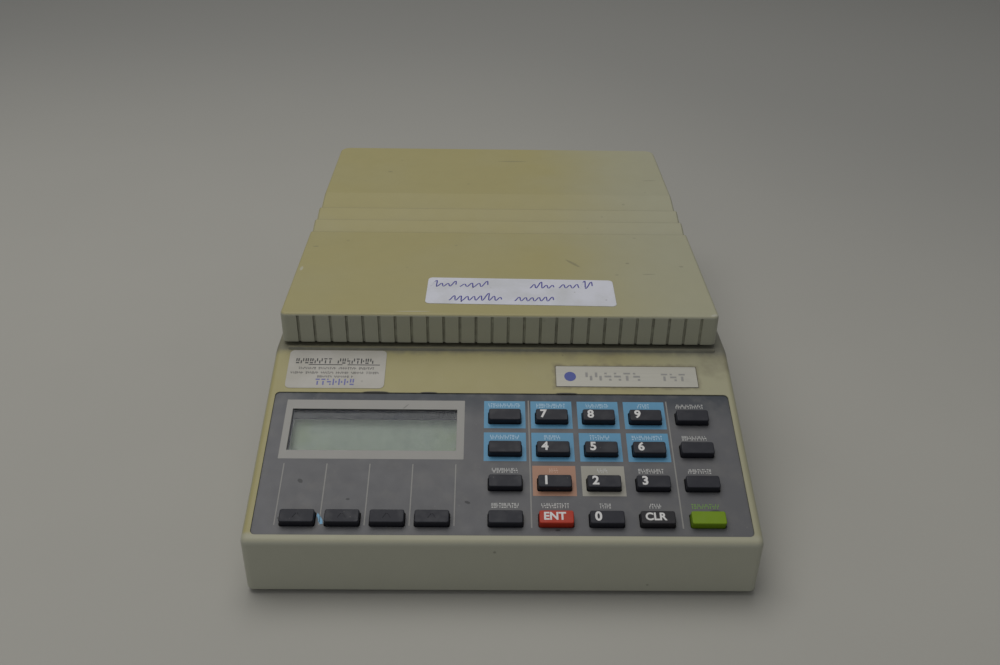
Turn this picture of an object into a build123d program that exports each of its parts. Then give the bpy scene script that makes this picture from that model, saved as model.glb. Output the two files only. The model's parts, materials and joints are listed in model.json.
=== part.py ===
from build123d import *
import os
from math import atan2, cos, degrees, hypot, radians, sin, tan

# Electronic postage scale: a wedge-shaped console with a keypad and a display, and a
# flat weighing platform carried by a load cell inside the rear of the base.
#
# Object frame, millimetres: X to the right, Y to the back, Z up, with the origin on
# the table at the centre of the footprint.
# Panel frame: u across, v up the slope, w out of the panel. Its w = 0 is the visible face
# of the keypad panel, whose front edge is at PANEL_FRONT_V.

# ---------------------------------------------------------------- driving dimensions
# Whole object
BASE_WIDTH = 204.0
DEPTH = 306.2
FRONT_Y = -DEPTH / 2
BASE_BACK_Y = 146.1
SKIRT_LIFT = 1.8
DECK_Z = 58.5
WALL = 2.6

# Sloping panel
SLOPE = 18.46
PANEL_Y = FRONT_Y + 4.65
PANEL_Z = 28.5
PANEL_WIDTH = 196.6
PANEL_FRONT_V = -1.3
PANEL_BACK_V = 67.8
PANEL_CORNER = 2.0
PANEL_RECESS = 0.45
POCKET_GAP = 0.12
OVERLAY_T = 0.5
SHEET_FIT = 0.02
PANEL_FLOOR_T = 2.0
ROOF_W = -OVERLAY_T - PANEL_FLOOR_T

# Outer rounding of the base
FRONT_CORNER = 3.0
BACK_CORNER = 5.0
INNER_CORNER = 1.5
INNER_BACK_CORNER = 2.4
TOP_ROUND = 2.6
CREASE_ROUND = 14.0
BOTTOM_ROUND = 1.0

# Weighing platform
TRAY_X = -1.0
TRAY_WIDTH = 196.4
TRAY_LENGTH = 211.9
TRAY_BACK_Y = DEPTH / 2
TRAY_Y = TRAY_BACK_Y - TRAY_LENGTH / 2
TRAY_FRONT_Y = TRAY_BACK_Y - TRAY_LENGTH
TRAY_TOP = 75.0
TRAY_SKIRT_Z = 60.5
TRAY_ROOF_Z = 71.6
TRAY_WALL = 2.6
TRAY_FRONT_CORNER = 3.0
TRAY_BACK_CORNER = 6.0
TRAY_EDGE = 1.4
TRAY_INNER_CORNER = 1.5
STEP_DEPTH = 3.8
RAMP_BEVEL = 0.9
STEP_RISERS = (27.4, 42.7, 58.4)
STEP_START_Y = 79.6
STEP_BACKING_Z = 69.0
STEP_BACKING_MARGIN = 3.0
GROOVE_COUNT = 26
GROOVE_PITCH = 7.22
GROOVE_WIDTH = 1.3
GROOVE_DEPTH = 0.8
GROOVE_TOP_GAP = 1.0
STIFFENER_X = 48.0
STIFFENER_T = 1.6
STIFFENER_DEPTH = 1.5
SOCKET_WALL = 1.9
SOCKET_DEPTH = 3.0
SOCKET_FIT = 0.4

# The lip across the deck, just in front of the platform
LIP_FRONT_Y = -61.8
LIP_LEAN = 0.3
LIP_T = 1.6
LIP_TOP_Z = 59.2
LIP_HALF_WIDTH = 96.2
LIP_FOOT_Z = 57.0

# Keys
KEY_PITCH_U = 20.0
KEY_PITCH_V = 16.45
KEY_WIDTH = 13.6
KEY_LENGTH = 5.8
KEY_PROUD = 3.15
KEY_CORNER = 0.9
KEY_EDGE = 0.45
KEY_CLEAR = 0.35
KEY_FLANGE = 1.0
KEY_FLANGE_T = 1.2
KEY_FLANGE_GAP = 0.1
PLUNGER_R = 1.6
ARROW_STROKE = 2.3
ARROW_LINE = 0.35
ARROW_DEPTH = 0.15
ARROW_SPREAD = 0.85
ARROW_ANGLE = 58.0
MAIN_KEY_U = 0.95
MAIN_KEY_V = 54.97
SOFT_KEY_U = -54.4
SOFT_KEY_PITCH = 17.6
MAIN_KEYS = (
    ("key_left_1", "key_7", "key_8", "key_9", "key_right_1"),
    ("key_left_2", "key_4", "key_5", "key_6", "key_right_2"),
    ("key_left_3", "key_1", "key_2", "key_3", "key_right_3"),
    ("key_left_4", "key_enter", "key_0", "key_clear", "key_green"),
)
SOFT_KEYS = ("soft_key_1", "soft_key_2", "soft_key_3", "soft_key_4")

# Keypad stack under the panel, heights in w
PAD_BOARD_TOP = -9.5
BOARD_T = 1.6
BOARD_CORNER = 0.6
BOARD_HOLE_FIT = 0.1
MAT_T = 1.0
MAT_INSET = 0.4
DOME_HEIGHT = 2.2
DOME_ROOT_R = 3.5
DOME_TOP_R = 2.0
REST_GAP = 0.05
KEYPAD_BLOCK = (-10.0, 90.5, 0.8, 64.5)
KEYPAD_STRIP = (-88.0, 90.5, 0.8, 16.0)
STRIP_SCREW_V = 13.2

# Display, as (left u, right u, low v, high v)
BEZEL_OUTER = (-92.7, -16.2, 33.9, 64.05)
BEZEL_INNER = (-89.8, -19.4, 38.1, 59.3)
WINDOW_T = 1.0
WINDOW_MARGIN = 0.7
PANE_CORNER = 0.5
LCD_FRAME_OUTER = (-92.4, -16.6, 34.4, 65.0)
LCD_FRAME_INNER = (-90.2, -19.2, 36.6, 58.3)
LCD_FRAME_TOP = -6.0
LCD_FRAME_T = 0.6
LCD_FRAME_CORNER = 0.8
LCD_GLASS_GAP = 0.3
LCD_BOARD = (-97.5, -11.5, 31.5, 67.5)
LCD_BOARD_TOP = -9.4
LCD_SCREW_INSET = 2.3
DRIVER_SIZE = 14.0
DRIVER_T = 2.0

# Labels and nameplate
NAMEPLATE = (23.8, 86.2, 71.9, 83.2)
NAMEPLATE_T = 0.5
NAMEPLATE_RECESS = 0.35
NAMEPLATE_GAP = 0.3
PLATE_CORNER = 0.3
SERVICE_LABEL = (-95.0, -51.8, 70.0, 91.3)
LABEL_T = 0.15
LABEL_CORNER = 2.2
PLATFORM_LABEL_SIZE = (87.2, 25.2)
PLATFORM_LABEL_CENTRE = (8.6, -36.6)
PLATFORM_LABEL_TURN = -1.0

# Lower case
FLOOR_Z = 2.0
FLOOR_T = 2.5
FLOOR_TOP = FLOOR_Z + FLOOR_T
FLOOR_GAP = 0.3
RIM_HEIGHT = 5.0
RIM_T = 1.8
FOOT_RADIUS = 8.0
FOOT_ROUND = 0.6
FOOT_PLUG_RADIUS = 2.5
FOOT_HEAD = 2.0
FOOT_HEAD_R = 3.3
FOOT_HEAD_TOP_R = 1.9
FOOT_X = 84.0
FOOT_FRONT_Y = -128.0
FOOT_BACK_Y = 112.0
CASE_SCREW_X = 94.5
CASE_SCREW_Y = (-139.0, -50.0, 136.0)
CASE_BOSS_R = 3.4
CASE_SCREW_R = 1.4
CASE_SCREW_LENGTH = 10.0
CASE_HEAD_R = 2.7
CASE_HEAD = 1.3
CASE_SEAT_DEPTH = 1.4
CASE_COUNTERBORE_R = 3.2
CASE_BORE_DEPTH = 12.0
SCREW_FIT = 0.05
BOARD_POST_R = 2.4
BOARD_BORE_DEPTH = 5.0
BOARD_PILLAR_R = 3.2
CHASSIS_PILLAR_R = 3.6
TRAY_CORNER = 2.2

# Weighing mechanism
CHASSIS_Z = 9.0
CHASSIS_T = 2.0
CHASSIS_HALF_WIDTH = 30.0
CHASSIS_END_GAP = 6.0
CHASSIS_FLANGE = 8.0
CHASSIS_SCREW_X = 22.0
CELL_WIDTH = 30.0
CELL_LENGTH = 130.0
CELL_HEIGHT = 22.0
CELL_END = 32.0
SPACER_T = 4.0
CELL_Z = CHASSIS_Z + CHASSIS_T + SPACER_T
CELL_TOP = CELL_Z + CELL_HEIGHT
CELL_HOLE_R = 7.5
CELL_HOLE_SPREAD = 22.0
CELL_SLOT = 6.0
CELL_SCREW_R = 3.0
CELL_SCREW_INSETS = (9.0, 24.0)
CELL_SCREW_HEAD_R = 5.0
CELL_SCREW_HEAD = 3.4
CELL_HEAD_CHAMFER = 0.5
CELL_SOCKET_R = 2.3
CELL_SCREW_GRIP = 12.0
GAUGE_SIZE = (12.0, 8.0, 0.4)
CARRIER_Z = 61.0
CARRIER_T = 5.0
CARRIER_TOP = CARRIER_Z + CARRIER_T
CARRIER_RIB = 3.0
CARRIER_ARM = 16.0
RIB_T = 3.0
RIB_END_GAP = 10.0
HUB_WIDTH = 44.0
HUB_LENGTH = 138.0
HUB_CORNER = 4.0
HUB_WINDOW = (-11.0, 11.0, TRAY_Y + 12.0, TRAY_Y + 52.0)
PAD_X = 80.0
PAD_Y = 88.0
PAD_RADIUS = 6.0
PAD_PLUG_R = 2.5
PAD_ROUND = 0.8
RISER_OPENING = 4.0
WINDOW_CORNER = 2.0
COLLAR_T = 1.5
COLLAR_HEIGHT = 1.2
SAG_LIMIT = 0.5
STOP_GAP = SAG_LIMIT + 0.1
STOP_RADIUS = 2.0
STOP_CHAMFER = 0.4
STOP_NUT_R = 3.6
STOP_NUT_T = 1.6
STOP_X = 9.0
STOP_Y = TRAY_Y - CELL_LENGTH / 2 + CELL_END / 2

# Electronics
MAIN_BOARD = (-89.5, -34.0, -25.0, 133.0)
MAIN_BOARD_Z = 10.0
MACHINE_SCREW_R = 1.5
MACHINE_SCREW_LENGTH = 5.5
MACHINE_HEAD_R = 2.7
MACHINE_HEAD = 1.9
BOARD_SCREW_INSET = 4.0
MAIN_BOARD_TOP = MAIN_BOARD_Z + BOARD_T
CELL_SOCKET = (-41.0, -35.0, 40.0, 50.0)
CELL_CABLE_R = 1.5
CELL_CABLE_INSET = 10.0
CELL_CABLE_HEIGHT = 14.0
CELL_CABLE_SWING = 12.0
CELL_CABLE_CLEAR = 4.0
JACK_X = -49.0
JACK_WIDTH = 9.0
JACK_HEIGHT = 11.0
JACK_LENGTH = 14.0
JACK_Z = MAIN_BOARD_TOP + JACK_HEIGHT / 2
JACK_COLLAR_R = 3.8
JACK_HOLE_GAP = 0.2
JACK_BORE_R = 2.8
JACK_BORE_DEPTH = 9.0
JACK_PIN_R = 1.05
SERIAL_X = -72.0
SERIAL_Z = 20.0
SERIAL_TOP = 16.6
SERIAL_BOTTOM = 14.6
SERIAL_SHELL = 8.4
SERIAL_ROUND = 1.5
SERIAL_HOLE_GAP = 0.4
SERIAL_FLANGE = 30.8
SERIAL_HEIGHT = 12.4
SERIAL_BODY = 19.0
SERIAL_DEPTH = 12.0
SERIAL_PROUD = 5.5
CONTACT_ROW = 1.4
CONTACT_PITCH = 2.77
CONTACT_R = 0.55
CHIP_Y = 62.0
CHIP_WIDTH = 13.6
CHIP_T = 3.8
CHIP_STANDING = 0.6
CHIP_SOCKET_HEIGHT = 4.2
CHIP_SOCKET_MARGIN = 0.5
PROCESSOR_X = -76.0
PROCESSOR_LENGTH = 52.0
PROCESSOR_PINS = 40
MEMORY_X = -52.0
MEMORY_LENGTH = 37.0
MEMORY_PINS = 28
PIN_PITCH = 2.54
LEG_X = 7.65
LEG_T = 0.3
NOTCH_R = 1.6
CAPACITORS = ((-76.0, 104.0, 6.3, 22.0), (-60.0, 106.0, 5.0, 16.0), (-62.0, 20.0, 4.0, 12.0))
CAN_ROUND = 0.8
REGULATOR_X = -41.0
REGULATOR_Y = 110.0
REGULATOR_WIDTH = 10.0
REGULATOR_T = 4.4
REGULATOR_STANDING = 4.0
REGULATOR_HEIGHT = 9.0
TAB_T = 1.3
TAB_HEIGHT = 7.0
TAB_HOLE_R = 1.8
RIBBON_WIDTH = 22.0
RIBBON_T = 0.9
RIBBON_BEND = 2.5
RIBBON_SWING = 8.0
RIBBON_CLIMB = 7.0
RIBBON_FLOOR_GAP = 3.0
RIBBON_X = -61.0
RIBBON_V = 9.5
HEADER_WIDTH = 24.0
HEADER_DEPTH = 6.0
HEADER_HEIGHT = 4.0
SOCKET_HEIGHT = 6.0

# ---------------------------------------------------------------- derived places
PANEL = Pos(0, PANEL_Y, PANEL_Z) * Rot(SLOPE, 0, 0)
CELL_FRONT = TRAY_Y - CELL_LENGTH / 2
CELL_BACK = TRAY_Y + CELL_LENGTH / 2
REAR_SCREWS = [CELL_BACK - inset for inset in CELL_SCREW_INSETS]
FRONT_SCREWS = [CELL_FRONT + inset for inset in CELL_SCREW_INSETS]
MAT_TOP = PAD_BOARD_TOP + MAT_T
DOME_TOP = MAT_TOP + DOME_HEIGHT


# ---------------------------------------------------------------- helpers
def block(x0, x1, y0, y1, z0, z1):
    """A box between two corners."""
    centre = Pos((x0 + x1) / 2, (y0 + y1) / 2, (z0 + z1) / 2)
    return centre * Box(x1 - x0, y1 - y0, z1 - z0)


def rod(x, y, z0, z1, radius):
    """An upright cylinder."""
    return Pos(x, y, (z0 + z1) / 2) * Cylinder(radius, z1 - z0)


def tile(area, z0, z1, corner=0.0, grow=0.0):
    """A flat plate over (left, right, near, far), grown outwards, with round corners."""
    left, right, near, far = area
    width = right - left + 2 * grow
    length = far - near + 2 * grow
    centre = Pos((left + right) / 2, (near + far) / 2, z0)
    outline = RectangleRounded(width, length, corner) if corner else Rectangle(width, length)
    return centre * extrude(outline, z1 - z0)


def join(shapes):
    """Fuse a list of shapes into one."""
    whole = shapes[0]
    for shape in shapes[1:]:
        whole = whole + shape
    return whole


def corners(area, inset):
    """The four points inset from the corners of an area."""
    left, right, near, far = area
    return [(u, v) for u in (left + inset, right - inset) for v in (near + inset, far - inset)]


def prism_yz(points, half_width):
    """A side profile in Y and Z, extruded both ways along X."""
    return extrude(Plane.YZ * make_face(Polyline(*points, close=True)), half_width, both=True)


def deck_height(y, w=PANEL_RECESS):
    """Height of the sloping surface at distance w above the panel's face."""
    return PANEL_Z + (y - PANEL_Y) * tan(radians(SLOPE)) + w / cos(radians(SLOPE))


def deck_reaches(z, w=PANEL_RECESS):
    """The Y where the sloping surface at w reaches a height."""
    return PANEL_Y + (z - deck_height(PANEL_Y, w)) / tan(radians(SLOPE))


def main_key_places():
    """Name and panel place of the twenty keys of the main block."""
    return [
        (name, MAIN_KEY_U + KEY_PITCH_U * column, MAIN_KEY_V - KEY_PITCH_V * row)
        for row, names in enumerate(MAIN_KEYS)
        for column, name in enumerate(names)
    ]


def soft_key_places():
    """Name and panel place of the four keys under the display."""
    v = MAIN_KEY_V - KEY_PITCH_V * (len(MAIN_KEYS) - 1)
    first = SOFT_KEY_U - SOFT_KEY_PITCH * (len(SOFT_KEYS) - 1) / 2
    return [(name, first + SOFT_KEY_PITCH * i, v) for i, name in enumerate(SOFT_KEYS)]


KEY_PLACES = main_key_places() + soft_key_places()


# ---------------------------------------------------------------- casings
def wedge(inset, bottom, roof_w, deck_z, front_corner, back_corner):
    """The base's wedge form, drawn in from its sides and cut off at a bottom height."""
    front = FRONT_Y + inset
    back = BASE_BACK_Y - inset
    half = BASE_WIDTH / 2 - inset
    crease = deck_reaches(deck_z, roof_w)
    profile = prism_yz(
        [
            (front, bottom),
            (front, deck_height(front, roof_w)),
            (crease, deck_z),
            (back, deck_z),
            (back, bottom),
        ],
        half,
    )
    crease_edges = profile.edges().filter_by(Axis.X).filter_by_position(Axis.Y, crease - 1, crease + 1)
    profile = fillet(crease_edges, CREASE_ROUND)
    uprights = profile.edges().filter_by(Axis.Z)
    profile = fillet(uprights.filter_by_position(Axis.Y, front - 1, front + 1), front_corner)
    uprights = profile.edges().filter_by(Axis.Z)
    return fillet(uprights.filter_by_position(Axis.Y, back - 1, back + 1), back_corner)


def case_boss_spots():
    return [(side * CASE_SCREW_X, y) for side in (-1, 1) for y in CASE_SCREW_Y]


def board_post(u, v, board_top):
    """A screw post from the panel's underside down to a board."""
    return rod(u, v, board_top, ROOF_W + 1, BOARD_POST_R)


def post_bore(u, v, board_top):
    """The screw hole up into a board post."""
    return rod(u, v, board_top - 1, board_top + BOARD_BORE_DEPTH, MACHINE_SCREW_R + SCREW_FIT)


def keypad_screw_spots():
    mid_v = MAIN_KEY_V - KEY_PITCH_V * 1.5
    mid_u = MAIN_KEY_U + KEY_PITCH_U * 1.5
    upper_v = mid_v + KEY_PITCH_V
    return [
        (mid_u - KEY_PITCH_U, mid_v),
        (mid_u + KEY_PITCH_U * 2, mid_v),
        (mid_u - KEY_PITCH_U, upper_v),
        (mid_u + KEY_PITCH_U * 2, upper_v),
        (SOFT_KEY_U + SOFT_KEY_PITCH, STRIP_SCREW_V),
    ]


def riser_window(grow):
    """The area round the load-cell riser, where it comes up through the deck."""
    half = CELL_WIDTH / 2 + grow
    return (-half, half, CELL_FRONT - grow, CELL_FRONT + CELL_END + grow)


def serial_outline(grow):
    """The D shape of the serial connector, drawn facing back."""
    wide = SERIAL_TOP / 2 + grow
    narrow = SERIAL_BOTTOM / 2 + grow
    tall = SERIAL_SHELL / 2 + grow
    outline = Polyline((-wide, tall), (wide, tall), (narrow, -tall), (-narrow, -tall), close=True)
    return fillet(make_face(outline).vertices(), SERIAL_ROUND)


def back_plane(x, z, y):
    """A sketch plane facing +Y at the back of the base."""
    return Plane(origin=(x, y, z), x_dir=(-1, 0, 0), z_dir=(0, 1, 0))


def upper_case():
    """The beige upper casing, all in one moulding, with the panel's pocket and openings."""
    outer = wedge(0, SKIRT_LIFT, PANEL_RECESS, DECK_Z, FRONT_CORNER, BACK_CORNER)
    top_edges = [
        edge
        for edge in outer.faces().filter_by(lambda f: f.normal_at().Z > 0.3).edges()
        if not edge.is_interior
    ]
    outer = fillet(top_edges, TOP_ROUND)
    rim = outer.faces().sort_by(Axis.Z)[0].edges()
    outer = fillet(rim, BOTTOM_ROUND)
    inner = wedge(WALL, SKIRT_LIFT - 1, ROOF_W, DECK_Z - WALL, INNER_CORNER, INNER_BACK_CORNER)
    posts = [rod(x, y, FLOOR_TOP, DECK_Z, CASE_BOSS_R) for x, y in case_boss_spots()]
    shell = outer - inner + (join(posts) & outer)
    for u, v in corners(LCD_BOARD, LCD_SCREW_INSET):
        shell += PANEL * board_post(u, v, LCD_BOARD_TOP)
    for u, v in keypad_screw_spots():
        shell += PANEL * board_post(u, v, PAD_BOARD_TOP)
    collar = riser_window(RISER_OPENING + COLLAR_T)
    shell += tile(collar, DECK_Z - 1, DECK_Z + COLLAR_HEIGHT, WINDOW_CORNER + COLLAR_T)
    shell += deck_lip()

    half = PANEL_WIDTH / 2
    area = (-half, half, PANEL_FRONT_V, PANEL_BACK_V)
    pocket = tile(area, -OVERLAY_T, KEY_PROUD, PANEL_CORNER, POCKET_GAP)
    openings = [pocket, tile(BEZEL_OUTER, ROOF_W - 1, 1, PANE_CORNER, -PANE_CORNER)]
    for _, u, v in KEY_PLACES:
        openings.append(key_block(u, v, KEY_CLEAR, ROOF_W - 1, 1))
    recess_floor = PANEL_RECESS - NAMEPLATE_RECESS
    openings.append(tile(NAMEPLATE, recess_floor, KEY_PROUD, PLATE_CORNER, NAMEPLATE_GAP))
    for u, v in corners(LCD_BOARD, LCD_SCREW_INSET):
        openings.append(post_bore(u, v, LCD_BOARD_TOP))
    for u, v in keypad_screw_spots():
        openings.append(post_bore(u, v, PAD_BOARD_TOP))
    for opening in openings:
        shell -= PANEL * opening

    shell -= tile(riser_window(RISER_OPENING), DECK_Z - 2 * WALL, DECK_Z + 2 * COLLAR_HEIGHT, WINDOW_CORNER)
    for x, y in case_boss_spots():
        shell -= rod(x, y, FLOOR_TOP - 1, FLOOR_TOP + CASE_BORE_DEPTH, CASE_SCREW_R + SCREW_FIT)
    outside = BASE_BACK_Y + 1
    through = -(WALL + 2)
    serial_hole = back_plane(SERIAL_X, SERIAL_Z, outside) * serial_outline(SERIAL_HOLE_GAP)
    jack_hole = back_plane(JACK_X, JACK_Z, outside) * Circle(JACK_COLLAR_R + JACK_HOLE_GAP)
    return shell - extrude(serial_hole, through) - extrude(jack_hole, through)


def deck_lip():
    """A low lip across the deck that keeps letters from sliding under the platform."""
    back = LIP_FRONT_Y + LIP_T
    profile = prism_yz(
        [
            (LIP_FRONT_Y, LIP_FOOT_Z),
            (LIP_FRONT_Y + LIP_LEAN, LIP_TOP_Z),
            (back, LIP_TOP_Z),
            (back, LIP_FOOT_Z),
        ],
        LIP_HALF_WIDTH,
    )
    plan = (-LIP_HALF_WIDTH, LIP_HALF_WIDTH, LIP_FRONT_Y, back)
    return profile & tile(plan, LIP_FOOT_Z, LIP_TOP_Z, LIP_T * 0.45)


def lower_case():
    """The bottom tray, set inside the upper casing's walls."""
    inset = WALL + FLOOR_GAP
    half = BASE_WIDTH / 2 - inset
    area = (-half, half, FRONT_Y + inset, BASE_BACK_Y - inset)
    tray = tile(area, FLOOR_Z, FLOOR_TOP, TRAY_CORNER)
    rim_top = FLOOR_TOP + RIM_HEIGHT
    rim = tile(area, FLOOR_Z, rim_top, TRAY_CORNER)
    tray += rim - tile(area, FLOOR_Z, rim_top, TRAY_CORNER - FLOOR_GAP, -RIM_T)
    for x, y in case_boss_spots():
        tray -= rod(x, y, FLOOR_TOP, rim_top + 1, CASE_BOSS_R + FLOOR_GAP)
    for x, y in main_board_spots():
        tray += rod(x, y, FLOOR_TOP, MAIN_BOARD_Z, BOARD_PILLAR_R)
        tray -= rod(x, y, FLOOR_TOP, MAIN_BOARD_Z + 1, MACHINE_SCREW_R + SCREW_FIT)
    for x, y in chassis_spots():
        tray += rod(x, y, FLOOR_TOP, CHASSIS_Z, CHASSIS_PILLAR_R)
        tray -= rod(x, y, FLOOR_TOP, CHASSIS_Z + 1, MACHINE_SCREW_R + SCREW_FIT)
    for x, y in case_boss_spots():
        tray -= rod(x, y, FLOOR_Z - 1, FLOOR_TOP + 1, CASE_SCREW_R + FLOOR_GAP)
        tray -= rod(x, y, FLOOR_Z - 1, FLOOR_Z + CASE_SEAT_DEPTH, CASE_COUNTERBORE_R)
    for x, y in foot_spots():
        tray -= rod(x, y, FLOOR_Z - 1, FLOOR_TOP + 1, FOOT_PLUG_RADIUS + SCREW_FIT)
    return tray


def foot_spots():
    return [(side * FOOT_X, y) for side in (-1, 1) for y in (FOOT_FRONT_Y, FOOT_BACK_Y)]


def rubber_feet():
    """Four push-in feet: a disc under the tray, a plug through it and a head above it."""
    head = FLOOR_TOP + SCREW_FIT
    feet = []
    for x, y in foot_spots():
        disc = fillet(Cylinder(FOOT_RADIUS, FLOOR_Z).edges().sort_by(Axis.Z)[0], FOOT_ROUND)
        foot = Pos(x, y, FLOOR_Z / 2) * disc
        foot += rod(x, y, FLOOR_Z / 2, head + FOOT_HEAD / 2, FOOT_PLUG_RADIUS)
        foot += Pos(x, y, head + FOOT_HEAD / 2) * Cone(FOOT_HEAD_R, FOOT_HEAD_TOP_R, FOOT_HEAD)
        feet.append(foot)
    return Compound(children=feet)


# ---------------------------------------------------------------- fasteners
def pan_screw(radius, length, head_radius, head_height):
    """A cross-slotted screw pointing down: the head's underside is at z = 0."""
    head = Pos(0, 0, head_height / 2) * Cylinder(head_radius, head_height)
    head = fillet(head.edges().sort_by(Axis.Z)[-1], head_height * 0.45)
    slot = Box(head_radius * 1.3, head_radius * 0.25, head_height)
    for turn in (0, 90):
        head -= Pos(0, 0, head_height) * Rot(0, 0, turn) * slot
    shank = Pos(0, 0, -length / 2) * Cylinder(radius, length)
    return head + chamfer(shank.edges().sort_by(Axis.Z)[0], radius * 0.4)


def case_screws():
    """Six screws from below, through the tray, into the upper casing's posts."""
    seat = FLOOR_Z + CASE_SEAT_DEPTH
    screw = Rot(180, 0, 0) * pan_screw(CASE_SCREW_R, CASE_SCREW_LENGTH, CASE_HEAD_R, CASE_HEAD)
    return Compound(children=[Pos(x, y, seat) * screw for x, y in case_boss_spots()])


def main_board_spots():
    return corners(MAIN_BOARD, BOARD_SCREW_INSET)


def chassis_spots():
    return [(side * CHASSIS_SCREW_X, y) for side in (-1, 1) for y in (CELL_FRONT, CELL_BACK)]


def machine_screws():
    """All the identical small screws: chassis, main board, display board and keypad board."""
    screw = pan_screw(MACHINE_SCREW_R, MACHINE_SCREW_LENGTH, MACHINE_HEAD_R, MACHINE_HEAD)
    up = Rot(180, 0, 0) * screw
    screws = [Pos(x, y, CHASSIS_Z + CHASSIS_T) * screw for x, y in chassis_spots()]
    screws += [Pos(x, y, MAIN_BOARD_TOP) * screw for x, y in main_board_spots()]
    lcd_seat = LCD_BOARD_TOP - BOARD_T
    screws += [PANEL * Pos(u, v, lcd_seat) * up for u, v in corners(LCD_BOARD, LCD_SCREW_INSET)]
    pad_seat = PAD_BOARD_TOP - BOARD_T
    screws += [PANEL * Pos(u, v, pad_seat) * up for u, v in keypad_screw_spots()]
    return Compound(children=screws)


# ---------------------------------------------------------------- keypad
def key_block(u, v, grow, w0, w1):
    """A rounded block on a key's plan, grown outwards."""
    plan = RectangleRounded(KEY_WIDTH + 2 * grow, KEY_LENGTH + 2 * grow, KEY_CORNER)
    return Pos(u, v, w0) * extrude(plan, w1 - w0)


def key(u, v):
    """A key: cap through the panel, retaining flange under it, and a plunger."""
    flange_top = ROOF_W - KEY_FLANGE_GAP
    flange_bottom = flange_top - KEY_FLANGE_T
    cap = key_block(u, v, 0, flange_bottom, KEY_PROUD)
    cap = fillet(cap.faces().sort_by(Axis.Z)[-1].edges(), KEY_EDGE)
    cap += key_block(u, v, KEY_FLANGE, flange_bottom, flange_top)
    cap += rod(u, v, DOME_TOP + REST_GAP, flange_bottom, PLUNGER_R)
    return cap


def soft_key(u, v):
    """A key with a small arrowhead sunk into its top."""
    body = key(u, v)
    stroke = Box(ARROW_STROKE, ARROW_LINE, 2 * ARROW_DEPTH)
    for side in (-1, 1):
        body -= Pos(u + side * ARROW_SPREAD, v, KEY_PROUD) * Rot(0, 0, side * -ARROW_ANGLE) * stroke
    return body


def keypad_plan(z0, z1, inset):
    """The L-shaped outline shared by the keypad board and its rubber mat."""
    return tile(KEYPAD_BLOCK, z0, z1, 0, -inset) + tile(KEYPAD_STRIP, z0, z1, 0, -inset)


def keypad_mat():
    """One silicone mat with a dome under each key."""
    mat = keypad_plan(PAD_BOARD_TOP, MAT_TOP, MAT_INSET)
    root = MAT_TOP - MAT_T / 4
    height = DOME_TOP - root
    for _, u, v in KEY_PLACES:
        mat += Pos(u, v, root + height / 2) * Cone(DOME_ROOT_R, DOME_TOP_R, height)
    for u, v in keypad_screw_spots():
        mat -= rod(u, v, PAD_BOARD_TOP - 1, MAT_TOP + 1, BOARD_POST_R + MAT_INSET)
    return PANEL * mat


def keypad_board():
    """The contact board under the mat, with the ribbon cable's header below it."""
    bottom = PAD_BOARD_TOP - BOARD_T
    board = keypad_plan(bottom, PAD_BOARD_TOP, 0)
    board += tile(ribbon_header(), bottom - HEADER_HEIGHT, bottom)
    for u, v in keypad_screw_spots():
        board -= rod(u, v, bottom - 1, PAD_BOARD_TOP + 1, MACHINE_SCREW_R + BOARD_HOLE_FIT)
    return PANEL * board


def ribbon_header():
    """Area of the cable header on the keypad board's underside."""
    half = HEADER_WIDTH / 2
    return (RIBBON_X - half, RIBBON_X + half, RIBBON_V - HEADER_DEPTH / 2, RIBBON_V + HEADER_DEPTH / 2)


def panel_overlay():
    """The printed grey panel, bonded into the casing's pocket."""
    half = PANEL_WIDTH / 2
    sheet = tile((-half, half, PANEL_FRONT_V, PANEL_BACK_V), -OVERLAY_T, 0, PANEL_CORNER)
    sheet -= tile(BEZEL_OUTER, -1, 1, PLATE_CORNER, SHEET_FIT)
    for _, u, v in KEY_PLACES:
        sheet -= key_block(u, v, KEY_CLEAR, -1, 1)
    return PANEL * sheet


# ---------------------------------------------------------------- display
def display_bezel():
    """The silver frame round the display window."""
    outer = tile(BEZEL_OUTER, -OVERLAY_T, 0, PLATE_CORNER)
    return PANEL * (outer - tile(BEZEL_INNER, -1, 1, PLATE_CORNER))


def display_window():
    """The clear pane bonded behind the silver frame."""
    pane = tile(BEZEL_OUTER, -OVERLAY_T - WINDOW_T, -OVERLAY_T, PANE_CORNER, -WINDOW_MARGIN)
    return PANEL * pane


def lcd_frame():
    """The black metal frame that clamps the display glass to its board."""
    frame = tile(LCD_FRAME_OUTER, LCD_BOARD_TOP, LCD_FRAME_TOP, LCD_FRAME_CORNER)
    under = LCD_FRAME_TOP - LCD_FRAME_T
    frame -= tile(LCD_FRAME_OUTER, LCD_BOARD_TOP - 1, under, LCD_FRAME_CORNER / 2, -LCD_FRAME_T)
    frame -= tile(LCD_FRAME_INNER, LCD_BOARD_TOP, LCD_FRAME_TOP + 1, LCD_FRAME_CORNER / 2)
    return PANEL * frame


def lcd_glass():
    """The display glass inside its frame."""
    low = LCD_BOARD_TOP + REST_GAP
    high = LCD_FRAME_TOP - LCD_FRAME_T - REST_GAP
    return PANEL * tile(LCD_FRAME_OUTER, low, high, 0, -LCD_FRAME_T - LCD_GLASS_GAP)


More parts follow.
